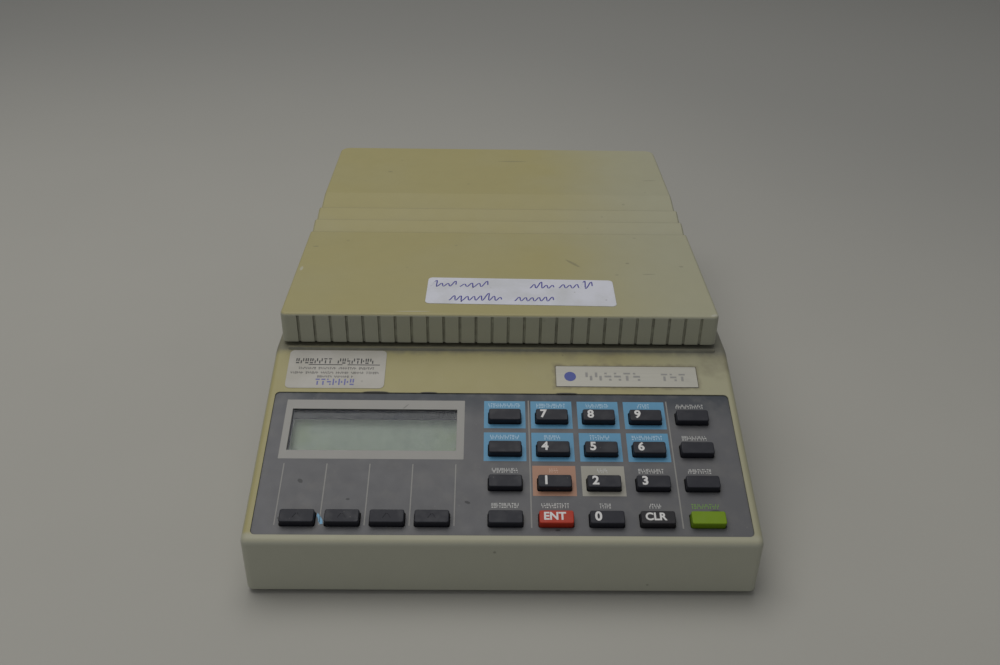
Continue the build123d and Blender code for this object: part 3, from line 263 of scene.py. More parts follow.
    def crevice(self, reach):
        """1 deep in a gap or against a neighbour, 0 in the open."""
        node = self.add("ShaderNodeAmbientOcclusion", samples=6)
        node.inputs["Distance"].default_value = reach * MM
        return self.math("SUBTRACT", 1.0, node.outputs["AO"])

    def relief(self, *layers):
        """A bumped normal from (height from 0 to 1, depth in mm) layers."""
        normal = None
        for height, depth in layers:
            node = self.add("ShaderNodeBump")
            self.plug(height, node.inputs["Height"])
            self.plug(depth * MM, node.inputs["Distance"])
            if normal is not None:
                self.plug(normal, node.inputs["Normal"])
            normal = node.outputs["Normal"]
        return normal

    def close(self, colour, roughness=0.5, metallic=0.0, normal=None, **others):
        shader = self.add("ShaderNodeBsdfPrincipled")
        self.plug(colour, shader.inputs["Base Color"])
        self.plug(roughness, shader.inputs["Roughness"])
        self.plug(metallic, shader.inputs["Metallic"])
        if normal is not None:
            self.plug(normal, shader.inputs["Normal"])
        for name, value in others.items():
            self.plug(value, shader.inputs[name.replace("_", " ").title().replace("Ior", "IOR")])
        self.plug(shader.outputs[0], self.output.inputs["Surface"])
        return self.material


def varied(finish, colour, amount, size, seed=0.0):
    """A colour that drifts lighter and darker by a share."""
    drift = finish.between(finish.noise(size, 3.0, seed), 1 - amount, 1 + amount)
    return finish.vector("SCALE", colour, scale=drift)


# ------------------------ casing plastics
FRESH_PLASTIC = (0.400, 0.402, 0.315)
AGED_PLASTIC = (0.405, 0.362, 0.168)
# Dark colour for dirt and painted shade in corners and gaps.
GRIME_AND_SHADE = (0.055, 0.050, 0.036)
# Pale colour for scuffs, and for the painted highlight on the casing's front lip.
PALE_SCUFF_AND_HIGHLIGHT = (0.55, 0.55, 0.50)
BROWN_GRIME = (0.17, 0.145, 0.095)
# Painted shade under the platform.
UNDER_PLATFORM_SHADE = (0.17, 0.168, 0.145)
DARK_SCUFF = (0.12, 0.115, 0.09)
# Dark colour for the dirt and painted shade at the platform's steps.
STEP_SHADE_AND_DIRT = (0.10, 0.095, 0.070)
RUBBED_BLACK = (0.02, 0.02, 0.022)
# How far back the three steps across the platform are, in the object's frame.
STEP_VALLEYS = (27.4, 42.7, 58.4)
# Marks on the platform: (x, how far back from its front edge), half sizes, turn in degrees.
DARK_MARKS = (
    ((35, 52), (5.5, 1.0), -52),
    ((62, 52.5), (1.0, 0.8), 0),
    ((71, 41), (3.6, 0.4), 4),
    ((88, 49.5), (1.2, 0.7), 0),
    ((88, 161), (4.6, 0.5), 2),
    ((8, 190), (10.0, 0.7), 1),
    ((-65, 171), (1.6, 0.8), 0),
    ((-93.5, 68.5), (1.6, 0.6), 0),
)
PALE_MARKS = (
    ((-96.6, 44), (0.8, 2.4), 0),
    ((95.0, 1.6), (2.0, 0.8), 20),
    ((-40, 3), (9.0, 0.35), 1),
)


def aged_plastic(finish, less_yellowed):
    """Moulded plastic that has yellowed where light falls on it, and stayed grey on its sides."""
    up = finish.axes(finish.facing)[2]
    patchy = finish.between(finish.noise(45.0, 3.0, 4.0), 0.75, 1.25)
    sunned = finish.times(finish.span(up, 0.25, 0.9), patchy)
    sunned = finish.times(sunned, finish.math("SUBTRACT", 1.0, less_yellowed))
    colour = finish.mix(sunned, FRESH_PLASTIC, AGED_PLASTIC)
    return varied(finish, colour, 0.035, 9.0, 1.0)


def moulded_relief(finish):
    """The fine pebble of a spark-eroded mould, with a slight waviness."""
    return finish.relief((finish.noise(40.0, 1.0, 2.0), 0.12), (finish.noise(0.75, 2.0, 3.0), 0.018))


def grimed_and_shaded(finish, colour, reach, strength):
    """Dirt and painted shade in corners and gaps: an occlusion mask, broken up by noise, darkens the
    colour.
    """
    patchy = finish.span(finish.noise(3.0, 3.0, 7.0), 0.2, 0.7)
    return finish.stain(colour, GRIME_AND_SHADE, finish.times(finish.crevice(reach), patchy), strength)


def round_nameplate(finish, u, v, torn):
    """A mask for the dirty rim round the nameplate and for the handled deck beside it."""
    low, high = NAMEPLATE
    centre = middle(NAMEPLATE)
    beside = finish.math("SUBTRACT", finish.distance(u, centre.x), (high.x - low.x) / 2)
    above = finish.math("SUBTRACT", finish.distance(v, centre.y), (high.y - low.y) / 2)
    away = finish.math("MAXIMUM", beside, above)
    rim = finish.span(finish.math("ADD", away, torn), 2.2, -0.4)
    rim = finish.times(rim, 0.68)
    handled = finish.span(finish.noise(16.0, 5.0, 10.5), 0.48, 0.72)
    handled = finish.times(handled, finish.span(u, 5, 40))
    handled = finish.times(handled, finish.span(v, SHEET[1].y, SHEET[1].y + 5))
    return finish.most(rim, finish.times(handled, 0.5))


def casing_finish():
    """The casing: greyer to the right, greyer and paler at the front lip as a painted highlight, and
    darkened by painted shade under the platform's edge.
    """
    finish = Finish("casing_plastic")
    x, y, _ = finish.axes(finish.place)
    u, v = finish.panel_place()
    less_yellowed = finish.times(finish.span(x, 45, 98), 0.6)
    # The front lip is painted paler as a painted highlight along its rounded edge: it yellows less and
    # takes a pale stain.
    lip = finish.span(v, SHEET[0].y + 1.5, SHEET[0].y - 0.5)
    less_yellowed = finish.most(less_yellowed, finish.times(lip, 0.6))
    colour = finish.stain(aged_plastic(finish, less_yellowed), PALE_SCUFF_AND_HIGHLIGHT, lip, 0.22)
    colour = grimed_and_shaded(finish, colour, 2.2, 1.0)
    torn = finish.between(finish.noise(3.5, 4.0, 10.0), -2.0, 2.0)
    colour = finish.mix(round_nameplate(finish, u, v, torn), colour, BROWN_GRIME)
    # Painted shade under the platform: the casing darkens from a ragged line just before the platform's
    # front edge back to its rear.
    front = TRAY[0].y
    dust_and_shade = finish.span(finish.math("ADD", y, torn), front - 6.0, front - 1.5)
    colour = finish.stain(colour, UNDER_PLATFORM_SHADE, dust_and_shade, 0.75)
    edge = SHEET[1].y + 0.25
    rubbed = finish.most(
        finish.smudge((u, v), (-55, edge), (6.2, 0.6), ragged=0.2),
        finish.smudge((u, v), (-32, edge), (4.0, 0.35), ragged=0.3),
        finish.smudge((u, v), (28, edge), (5.2, 0.5), ragged=0.2),
    )
    colour = finish.stain(colour, RUBBED_BLACK, rubbed, 0.9)
    colour = finish.stain(colour, DARK_SCUFF, finish.specks(3.4, 0.05, 5.0), 0.5)
    roughness = finish.between(finish.noise(6.0, 3.0, 6.0), 0.46, 0.6)
    return finish.close(colour, roughness, normal=moulded_relief(finish))


def step_shade_and_dirt(finish, y):
    """A mask for each step: painted shade, with some dirt, that darkens the ramp towards its valley, and a
    line of dirt and painted shade in the valley.
    """
    masks = []
    for valley in STEP_VALLEYS:
        behind = finish.math("SUBTRACT", y, valley)
        past = finish.math("GREATER_THAN", behind, -0.2)
        soft = finish.times(finish.span(behind, 9.0, 0.0), 0.11)
        line = finish.times(finish.span(behind, 1.9, 0.3), 0.34)
        masks.append(finish.times(finish.math("ADD", soft, line), past))
    return masks


def platform_finish():
    """The platform: yellowed like the casing, greyer towards its right side, with dirt and painted shade at
    its steps, and handling marks.
    """
    finish = Finish("platform_plastic")
    x, y, _ = finish.axes(finish.place)
    front = TRAY[0].y
    right = TRAY[1].x
    ragged = finish.between(finish.noise(26.0, 2.0, 8.0), -12.0, 12.0)
    less_yellowed = finish.span(finish.math("ADD", x, ragged), right - 94, right - 6)
    colour = aged_plastic(finish, finish.times(less_yellowed, 0.72))
    # Dirt and painted shade at each step.
    for mask in step_shade_and_dirt(finish, y):
        colour = finish.mix(mask, colour, STEP_SHADE_AND_DIRT)
    colour = grimed_and_shaded(finish, colour, 2.6, 1.0)
    specks = finish.times(finish.specks(4.6, 0.06, 9.0), 0.6)
    dark = finish.most(finish.marks((x, y), DARK_MARKS, front), specks)
    colour = finish.stain(colour, DARK_SCUFF, dark, 0.38)
    colour = finish.stain(colour, PALE_SCUFF_AND_HIGHLIGHT, finish.marks((x, y), PALE_MARKS, front), 0.5)
    roughness = finish.between(finish.noise(8.0, 3.0, 6.0), 0.44, 0.6)
    return finish.close(colour, roughness, normal=moulded_relief(finish))


def bottom_finish():
    """The underside was never in the light, so it kept its first colour."""
    finish = Finish("bottom_plastic")
    colour = grimed_and_shaded(finish, varied(finish, FRESH_PLASTIC, 0.05, 14.0), 3.0, 0.8)
    return finish.close(colour, 0.55, normal=moulded_relief(finish))


# ------------------------ panel, display and labels
PANEL_NEAR = (0.114, 0.115, 0.126)
# Painted shade at the panel's far edge.
PANEL_FAR_SHADE = (0.032, 0.041, 0.058)
PANEL_LEFT = (0.140, 0.141, 0.157)
PANEL_HAZE = (0.175, 0.17, 0.165)
PANEL_DUST = (0.22, 0.21, 0.20)
PANEL_STAIN = (0.012, 0.013, 0.018)
SILVER = (0.255, 0.250, 0.238)
SCRATCHED_SILVER = (0.09, 0.09, 0.09)
PANE_TINT = (0.90, 0.92, 0.92)
PANE_DUST = (0.22, 0.25, 0.34)
ACRYLIC_INDEX = 1.49
DISPLAY_GREEN = (0.37, 0.430, 0.320)
CELL_GREEN = (0.28, 0.33, 0.25)
AGED_GREEN = (0.32, 0.40, 0.17)
CELL_COLUMNS = 16
CELL_HEIGHT = 8.4
# The share of the display's width that the columns of cells take up.
ACTIVE_SHARE = 0.86
PAPER_SPECK = (0.16, 0.15, 0.13)
PLATE = (0.475, 0.462, 0.410)
DULL_PLATE = (0.36, 0.345, 0.30)


def panel_finish():
    """Printed film over a sheet: darkened to blue-grey at the far edge by painted shade, with dust, haze
    and stains.
    """
    finish = Finish("panel_print")
    u, v = finish.panel_place()
    far = SHEET[1].y
    # Painted shade: darker towards the far edge.
    colour = finish.mix(finish.span(v, far - 16, far), PANEL_NEAR, PANEL_FAR_SHADE)
    colour = varied(finish, colour, 0.06, 16.0, 11.0)
    colour = finish.stain(colour, PANEL_LEFT, finish.span(u, SHEET[0].x + 18, SHEET[0].x), 0.5)
    haze = finish.span(finish.noise(7.0, 5.0, 12.0), 0.45, 0.8)
    colour = finish.stain(colour, PANEL_HAZE, haze, 0.45)
    colour = finish.stain(colour, PANEL_DUST, finish.specks(1.6, 0.10, 13.0), 0.4)
    soft = KEY_AT["soft_key_4"]
    enter = KEY_AT["key_enter"]
    green = KEY_AT["key_green"]
    dark = finish.most(
        finish.smudge((u, v), (-82, 23.2), (1.4, 0.9), -40),
        finish.smudge((u, v), (-62, 14.8), (0.9, 0.5)),
        finish.smudge((u, v), (soft.x + 13.8, 13.6), (1.3, 0.7), -20),
        finish.smudge((u, v), (enter.x + 0.5, enter.y - 4.3), (1.1, 0.5)),
        finish.smudge((u, v), (green.x + 3.4, green.y + 4.4), (2.4, 0.7), 4),
        finish.smudge((u, v), (-55, far - 0.3), (6.2, 0.45)),
        finish.smudge((u, v), (28, far - 0.3), (5.2, 0.4)),
        finish.smudge((u, v), (-88, 6.4), (1.2, 0.5), 30),
    )
    colour = finish.stain(colour, PANEL_STAIN, dark, 0.8)
    colour = grimed_and_shaded(finish, colour, 1.2, 0.9)
    roughness = finish.between(finish.noise(5.0, 4.0, 14.0), 0.40, 0.6)
    normal = finish.relief((finish.noise(0.6, 2.0, 15.0), 0.012), (finish.noise(30.0, 1.0, 16.0), 0.06))
    return finish.close(colour, roughness, normal=normal)


def silver_finish():
    """The silver frame print, with one short scratch near its top."""
    finish = Finish("silver_print")
    colour = varied(finish, SILVER, 0.05, 8.0, 17.0)
    scratched = finish.scratch(finish.panel_place(), (-43.0, 59.2), (-40.2, 62.2), 0.45)
    colour = finish.stain(colour, SCRATCHED_SILVER, scratched, 0.7)
    normal = finish.relief((finish.noise(0.5, 2.0, 18.0), 0.008))
    return finish.close(colour, 0.42, 0.15, normal)


def window_finish():
    """A clear pane that lets the display show through, with a soft mirror, dust and a scratch."""
    finish = Finish("clear_window")
    through = finish.add("ShaderNodeBsdfTransparent")
    finish.plug(PANE_TINT, through.inputs["Color"])
    mirror = finish.add("ShaderNodeBsdfGlossy")
    finish.plug(0.12, mirror.inputs["Roughness"])
    fresnel = finish.add("ShaderNodeFresnel")
    finish.plug(ACRYLIC_INDEX, fresnel.inputs["IOR"])
    pane = finish.add("ShaderNodeMixShader")
    finish.plug(finish.times(fresnel.outputs[0], 0.4), pane.inputs[0])
    finish.plug(through.outputs[0], pane.inputs[1])
    finish.plug(mirror.outputs[0], pane.inputs[2])
    film = finish.add("ShaderNodeBsdfDiffuse")
    finish.plug(PANE_DUST, film.inputs["Color"])
    dust = finish.between(finish.span(finish.noise(3.0, 5.0, 19.0), 0.45, 0.75), 0.045, 0.095)
    grain = finish.times(finish.specks(0.9, 0.18, 20.0), 0.08)
    line = finish.scratch(finish.panel_place(), (-48.6, 52.2), (-42.8, 59.2), 0.32)
    cover = finish.math("ADD", finish.math("ADD", dust, grain), finish.times(line, 0.35))
    dust_and_shade = finish.add("ShaderNodeMixShader")
    finish.plug(cover, dust_and_shade.inputs[0])
    finish.plug(pane.outputs[0], dust_and_shade.inputs[1])
    finish.plug(film.outputs[0], dust_and_shade.inputs[2])
    finish.plug(dust_and_shade.outputs[0], finish.output.inputs["Surface"])
    return finish.material


def display_finish():
    """The grey-green face of a switched-off character display, with faint cells."""
    finish = Finish("display_green")
    u, v = finish.panel_place()
    low, high = panel_box("lcd_glass")
    centre = middle((low, high))
    cell_width = (high.x - low.x) * ACTIVE_SHARE / CELL_COLUMNS
    columns = finish.math("PINGPONG", finish.math("SUBTRACT", u, centre.x), cell_width / 2)
    rows = finish.math("PINGPONG", finish.math("SUBTRACT", v, centre.y), CELL_HEIGHT / 2)
    inside = finish.times(finish.span(columns, 0.35, 0.55), finish.span(rows, 0.5, 0.75))
    colour = varied(finish, DISPLAY_GREEN, 0.09, 9.0, 21.0)
    colour = finish.stain(colour, CELL_GREEN, inside, 0.10)
    patches = finish.span(finish.noise(22.0, 2.0, 21.5), 0.48, 0.68)
    ends = finish.span(finish.distance(u, centre.x), 12, 34)
    colour = finish.stain(colour, AGED_GREEN, finish.times(patches, ends), 0.55)
    return finish.close(colour, 0.25, normal=finish.relief((finish.noise(0.4, 1.0, 22.0), 0.004)))


def frame_finish():
    finish = Finish("black_metal")
    colour = varied(finish, BLACK_METAL, 0.2, 4.0, 23.0)
    worn = finish.span(finish.noise(2.0, 4.0, 24.0), 0.62, 0.8)
    return finish.close(finish.mix(worn, colour, WORN_METAL), 0.5)


def paper_finish(name, colour, yellowed):
    """Label paper: faint fibres, a soft yellowing in patches and grime at the rim."""
    finish = Finish(name)
    base = finish.mix(finish.span(finish.noise(12.0, 3.0, 25.0), 0.35, 0.75), colour, yellowed)
    fibres = finish.noise(0.5, 3.0, 26.0, stretch=(4, 1, 1))
    base = finish.vector("SCALE", base, scale=finish.between(fibres, 0.96, 1.04))
    base = finish.stain(base, PAPER_SPECK, finish.specks(2.8, 0.06, 27.0), 0.35)
    return finish.close(grimed_and_shaded(finish, base, 0.8, 0.6), 0.62, normal=finish.relief((fibres, 0.01)))


def plate_finish():
    """The nameplate: a brushed, silvery white strip, dulled by handling."""
    finish = Finish("plate_white")
    grain = finish.noise(0.6, 3.0, 28.0, stretch=(30, 1, 1))
    colour = finish.vector("SCALE", PLATE, scale=finish.between(grain, 0.92, 1.08))
    dull = finish.span(finish.noise(9.0, 4.0, 29.0), 0.55, 0.8)
    colour = finish.stain(colour, DULL_PLATE, dull, 0.4)
    return finish.close(grimed_and_shaded(finish, colour, 1.0, 0.9), 0.45, 0.1, finish.relief((grain, 0.01)))


def ink_finish(name, colour, seed, worn=0.25, roughness=0.5):
    """Printed ink, with small gaps where it has rubbed away."""
    finish = Finish(name)
    body = varied(finish, colour, 0.06, 5.0, seed)
    rubbed = finish.span(finish.noise(0.9, 4.0, seed + 0.5), 0.62, 0.78)
    darker = finish.vector("SCALE", colour, scale=1 - worn)
    body = finish.mix(rubbed, body, darker)
    return finish.close(body, roughness, normal=finish.relief((finish.noise(0.6, 2.0, seed), 0.01)))


# ------------------------ keys
KEY_DUST = (0.25, 0.24, 0.22)


def key_finish(name, colour, top_highlight, seed):
    """A moulded key: fine grain, a paler top that is a painted highlight, smoother patches from handling
    and dust specks.
    """
    finish = Finish(name)
    up = finish.vector("DOT_PRODUCT", finish.facing, tuple(NORMAL))
    base = varied(finish, colour, 0.08, 3.0, seed)
    # Painted highlight: the faces turned out of the panel take the paler colour.
    base = finish.stain(base, top_highlight, finish.span(up, 0.75, 0.98), 0.55)
    base = finish.stain(base, KEY_DUST, finish.specks(1.3, 0.08, seed), 0.3)
    polish = finish.between(finish.span(finish.noise(4.0, 2.0, seed), 0.4, 0.7), 0.56, 0.44)
    normal = finish.relief((finish.noise(0.45, 2.0, seed + 1), 0.012))
    return finish.close(base, polish, normal=normal, specular_ior_level=0.33)


# ------------------------ inside and underneath
BLUE_ZINC = (0.58, 0.60, 0.62)
YELLOW_ZINC = (0.62, 0.60, 0.52)
MACHINED = (0.74, 0.745, 0.75)
CAST = (0.50, 0.50, 0.50)
SOLDER_MASK = (0.022, 0.115, 0.045)
COVERED_TRACK = (0.05, 0.21, 0.075)
TINNED = (0.55, 0.55, 0.52)
MOULDING = (0.022, 0.022, 0.024)
LEAD = (0.58, 0.58, 0.56)
SHELL = (0.56, 0.56, 0.53)
INSULATOR = (0.02, 0.02, 0.022)
CAN_SLEEVE = (0.018, 0.035, 0.16)
CAN_STRIPE = (0.45, 0.47, 0.50)
CAN_TOP = (0.62, 0.62, 0.62)
AMBER_FOIL = (0.50, 0.22, 0.06)
GAUGE_GRID = (0.30, 0.12, 0.03)
CABLE_GROOVE = (0.13, 0.13, 0.135)
CABLE_GREY = (0.28, 0.28, 0.29)
BLACK_METAL = (0.010, 0.010, 0.016)
WORN_METAL = (0.03, 0.03, 0.04)
# Spacing of holes on the boards, and of the wires in the ribbon cable.
BOARD_GRID = 2.54
RIBBON_PITCH = 1.27
# Half the width of the two chips' moulded bodies.
PROCESSOR_HALF = 6.81
MEMORY_HALF = 8.6
JACK_PIN_RADIUS = 1.2
# The connector's insulator: how far its middle is below the top, half sizes and depth.
INSULATOR_DROP = 6.2
INSULATOR_HALF = (7.1, 3.3)
INSULATOR_DEPTH = 0.6


def rubber_finish(name, colour, seed):
    finish = Finish(name)
    base = varied(finish, colour, 0.15, 3.0, seed)
    bloom = finish.span(finish.noise(5.0, 4.0, seed + 1), 0.5, 0.8)
    base = finish.stain(base, tuple(c * 1.8 + 0.02 for c in colour), bloom, 0.3)
    return finish.close(base, 0.8, normal=finish.relief((finish.noise(0.4, 3.0, seed), 0.03)))


def plated_finish():
    """Bright zinc: slightly blue and yellow in turns, with fine scratches."""
    finish = Finish("zinc_steel")
    tint = finish.span(finish.noise(3.0, 2.0, 31.0), 0.35, 0.65)
    colour = finish.mix(tint, BLUE_ZINC, YELLOW_ZINC)
    hairs = finish.noise(0.5, 3.0, 32.0, stretch=(14, 1, 1))
    roughness = finish.between(hairs, 0.24, 0.42)
    return finish.close(colour, roughness, 1.0, finish.relief((hairs, 0.006)))


def machined_finish():
    finish = Finish("bare_aluminium")
    marks = finish.noise(0.35, 2.0, 33.0, stretch=(1, 40, 1))
    colour = finish.vector("SCALE", MACHINED, scale=finish.between(marks, 0.92, 1.06))
    roughness = finish.between(marks, 0.24, 0.44)
    return finish.close(colour, roughness, 1.0, finish.relief((marks, 0.012)))


def cast_finish():
    finish = Finish("cast_aluminium")
    colour = varied(finish, CAST, 0.12, 6.0, 34.0)
    skin = finish.relief((finish.noise(1.4, 3.0, 35.0), 0.09), (finish.noise(0.4, 2.0, 36.0), 0.03))
    return finish.close(colour, 0.52, 0.85, skin)


def board_finish():
    """Solder mask with the copper tracks showing as lighter lines, and tinned pads."""
    finish = Finish("circuit_board")
    x, y, _ = finish.axes(finish.place)
    tracks = []
    for value, seed in ((x, 37.0), (y, 38.0)):
        lanes = finish.span(finish.math("PINGPONG", value, BOARD_GRID / 2), 0.42, 0.28)
        runs = finish.span(finish.noise(7.0, 1.0, seed), 0.50, 0.52)
        tracks.append(finish.times(lanes, runs))
    colour = varied(finish, SOLDER_MASK, 0.1, 12.0, 39.0)
    colour = finish.stain(colour, COVERED_TRACK, finish.most(*tracks), 0.7)
    pads = finish.specks(BOARD_GRID, 0.22, 40.0)
    colour = finish.mix(pads, colour, TINNED)
    return finish.close(colour, 0.3, finish.times(pads, 0.9), finish.relief((tracks[0], 0.03)))


def component_finish(name, metal_mask):
    """Black moulding compound with bare metal where the mask says so."""
    finish = Finish(name)
    metal = metal_mask(finish)
    colour = finish.mix(metal, varied(finish, MOULDING, 0.2, 3.0, 41.0), LEAD)
    roughness = finish.between(metal, 0.55, 0.3)
    return finish.close(colour, roughness, metal, finish.relief((finish.noise(0.4, 2.0, 42.0), 0.01)))


def chip_finish(name, node, half_width):
    """A chip, where the metal is what stands out beyond its moulded body."""
    centre = middle(world_box(node)).x

    def mask(finish):
        x = finish.axes(finish.place)[0]
        return finish.math("GREATER_THAN", finish.distance(x, centre), half_width)

    return component_finish(name, mask)


def regulator_metal(finish):
    """The three legs below and the tab above the regulator's body."""
    low, high = world_box("voltage_regulator")
    z = finish.axes(finish.place)[2]
    legs = finish.math("LESS_THAN", z, low.z + (high.z - low.z) * 0.2)
    tab = finish.math("GREATER_THAN", z, low.z + (high.z - low.z) * 0.65)
    return finish.most(legs, tab)


def jack_metal(finish):
    """The centre pin of the power socket."""
    centre = middle(world_box("power_jack"))
    x, _, z = finish.axes(finish.place)
    dx = finish.math("SUBTRACT", x, centre.x)
    dz = finish.math("SUBTRACT", z, centre.z)
    away = finish.math("SQRT", finish.math("ADD", finish.times(dx, dx), finish.times(dz, dz)))
    return finish.math("LESS_THAN", away, JACK_PIN_RADIUS)


def connector_finish():
    """A tinned shell round a black insulator that holds the contacts."""
    finish = Finish("connector_metal")
    low, high = world_box("serial_connector")
    x, y, z = finish.axes(finish.place)
    across = finish.math("LESS_THAN", finish.distance(x, (low.x + high.x) / 2), INSULATOR_HALF[0])
    upright = finish.math("LESS_THAN", finish.distance(z, high.z - INSULATOR_DROP), INSULATOR_HALF[1])
    deep = finish.math("GREATER_THAN", y, high.y - INSULATOR_DEPTH)
    face = finish.times(finish.times(across, upright), deep)
    colour = finish.mix(face, varied(finish, SHELL, 0.08, 4.0, 43.0), INSULATOR)
    metallic = finish.math("SUBTRACT", 1.0, face)
    return finish.close(colour, 0.32, metallic, finish.relief((finish.noise(0.6, 2.0, 44.0), 0.008)))


def can_finish():
    """A shrunk-on blue sleeve with a pale stripe, and a bare top."""
    finish = Finish("component_can")
    side_x, _, up = finish.axes(finish.facing)
    colour = varied(finish, CAN_SLEEVE, 0.12, 4.0, 45.0)
    colour = finish.mix(finish.span(side_x, 0.90, 0.93), colour, CAN_STRIPE)
    top = finish.span(up, 0.93, 0.97)
    colour = finish.mix(top, colour, CAN_TOP)
    return finish.close(colour, 0.28, top, finish.relief((finish.noise(0.8, 2.0, 46.0), 0.01)))


def gauge_finish():
    """Amber foil backing with the folded grid of the gauge."""
    finish = Finish("gauge_foil")
    x = finish.axes(finish.place)[0]
    grid = finish.span(finish.math("PINGPONG", x, 0.5), 0.2, 0.3)
    colour = finish.mix(grid, AMBER_FOIL, GAUGE_GRID)
    return finish.close(varied(finish, colour, 0.1, 2.0, 47.0), 0.35)


def cable_finish():
    """Flexible sleeve: the ribbon's lengthwise ridges show as fine lines."""
    finish = Finish("cable_grey")
    x = finish.axes(finish.place)[0]
    ridges = finish.span(finish.math("PINGPONG", x, RIBBON_PITCH / 2), 0.0, 0.5)
    colour = finish.mix(ridges, CABLE_GROOVE, varied(finish, CABLE_GREY, 0.08, 6.0, 48.0))
    return finish.close(colour, 0.5, normal=finish.relief((ridges, 0.12)))


def dress_frame():
    """Gives every CAD node its material."""
    looks = {
        "upper_case": casing_finish(),
        "lower_case": bottom_finish(),
        "platform_tray": platform_finish(),
        "panel_overlay": panel_finish(),
        "display_bezel": silver_finish(),
        "display_window": window_finish(),
        "lcd_glass": display_finish(),
        "lcd_frame": frame_finish(),
        "nameplate": plate_finish(),
        "service_label": paper_finish("label_cream", (0.55, 0.528, 0.49), (0.48, 0.46, 0.41)),
        "platform_label": paper_finish("label_white", (0.71, 0.72, 0.80), (0.62, 0.63, 0.67)),
        "keypad_mat": rubber_finish("silicone_rubber", (0.20, 0.20, 0.21), 50.0),
        "platform_carrier": cast_finish(),
        "strain_gauges": gauge_finish(),
        "capacitors": can_finish(),
        "serial_connector": connector_finish(),
        "processor_chip": chip_finish("processor_black", "processor_chip", PROCESSOR_HALF),
        "rate_memory_chip": chip_finish("memory_black", "rate_memory_chip", MEMORY_HALF),
        "voltage_regulator": component_finish("regulator_black", regulator_metal),
        "power_jack": component_finish("jack_black", jack_metal),
        # Each key: its colour, then the paler colour of its painted top highlight.
        "key_enter": key_finish("key_red", (0.44, 0.030, 0.012), (0.52, 0.050, 0.024), 51.0),
        "key_green": key_finish("key_green", (0.155, 0.265, 0.003), (0.215, 0.350, 0.004), 52.0),
        "key_clear": key_finish("key_black", (0.016, 0.015, 0.019), (0.024, 0.023, 0.029), 53.0),
    }
    screws = ("case_screws", "machine_screws", "load_cell_lower_screws", "load_cell_upper_screws")
    dark_key = key_finish("key_dark", (0.016, 0.0167, 0.0245), (0.0245, 0.0262, 0.038), 54.0)
    for finish, nodes in (
        (board_finish(), ("lcd_board", "keypad_board", "main_board")),
        (plated_finish(), (*screws, "overload_stops", "chassis_plate")),
        (machined_finish(), ("load_cell", "load_cell_spacer", "load_cell_riser")),
        (rubber_finish("black_rubber", (0.02, 0.02, 0.021), 49.0), ("rubber_feet", "carrier_pads")),
        (cable_finish(), ("ribbon_cable", "load_cell_cable")),
        (dark_key, KEYS),
    ):
        for node in nodes:
            looks.setdefault(node, finish)
    for node, piece in frame["nodes"].items():
        piece.data.materials.clear()
        piece.data.materials.append(looks[node])


# ------------------------ thin printed pieces
# Half the thickness of a printed piece.
INK = 0.03
# The coloured ground under a key: half its width, and how far it reaches before and beyond it.
GROUND_HALF = 8.85
GROUND_BEFORE = 5.28
GROUND_BEYOND = 8.98
LEGEND_HEIGHT = 2.2
LEGEND_PITCH = 1.02
LEGEND_RISE = 6.7
# How wide each key's legend is, row by row.
LEGEND_WIDTHS = (
    (13.9, 12.5, 10.0, 5.4, 12.1),
    (12.4, 7.0, 8.5, 13.0, 10.6),
    (10.8, 3.7, 4.4, 10.6, 9.7),
    (11.1, 11.3, 4.7, 5.0, 11.2),
)
DIGIT_HEIGHT = 4.2
DIGIT_SHIFT = (-3.5, 0.35)
COMMAND_HEIGHT = 3.5
# Half the width of the rules under the display and of those between the key columns.
SOFT_RULE_HALF = 0.24
MAIN_RULE_HALF = 0.28
# The paint chip's corners, round its own middle.
PAINT_CHIP = (
    (-1.2, 2.9), (-1.5, 1.6), (-0.7, 0.2), (-0.6, -0.9),
    (0.3, -2.2), (1.3, -1.9), (1.0, -0.3), (0.2, 1.2),
)
# Pen strokes: start, end and foot from the label's middle, and the height of the tallest letters.
STROKES = (
    (-42.0, -30.0, 4.6, 5.2),
    (-28.4, -15.0, 4.4, 5.6),
    (4.4, 16.0, 3.4, 6.4),
    (18.0, 34.0, 3.8, 6.4),
    (-33.0, -8.6, -8.9, 7.2),
    (-3.0, 15.2, -9.0, 7.0),
)
PEN_PITCH = 3.1
PEN_WIDTH = 0.56
# Rows of small print: left and width from the middle, drop from the top, height, pitch, gap every.
SMALL_PRINT = (
    (-16.8, 33.6, 10.9, 1.25, 1.0, 9),
    (-20.0, 40.0, 13.4, 1.2, 0.95, 7),
    (-8.0, 15.9, 15.5, 1.1, 0.95, 8),
)


def add_plate(mesh, loops, low, high):
    """Adds a closed flat plate: the first loop is its outline, the others are holes in it."""
    triangles = tessellate_polygon([[Vector((x, y, 0)) for x, y in loop] for loop in loops])
    bottom = [mesh.verts.new((x, y, low)) for loop in loops for x, y in loop]
    top = [mesh.verts.new((x, y, high)) for loop in loops for x, y in loop]
    for triangle in triangles:
        mesh.faces.new([bottom[i] for i in triangle])
        mesh.faces.new([top[i] for i in reversed(triangle)])
    start = 0
    for loop in loops:
        count = len(loop)
        for i in range(count):
            a = start + i
            b = start + (i + 1) % count
            mesh.faces.new((bottom[a], bottom[b], top[b], top[a]))
        start += count


def rounded(left, right, near, far, radius):
    """The outline of a rectangle with round corners."""
    steps = 5
    points = []
    quarter = math.pi / 2
    for cx, cy, first in (
        (right - radius, near + radius, -quarter),
        (right - radius, far - radius, 0),
        (left + radius, far - radius, quarter),
        (left + radius, near + radius, 2 * quarter),
    ):
        for i in range(steps + 1):
            angle = first + quarter * i / steps
            points.append((cx + radius * math.cos(angle), cy + radius * math.sin(angle)))
    return points


def rectangle(left, right, near, far):
    return [(left, near), (right, near), (right, far), (left, far)]


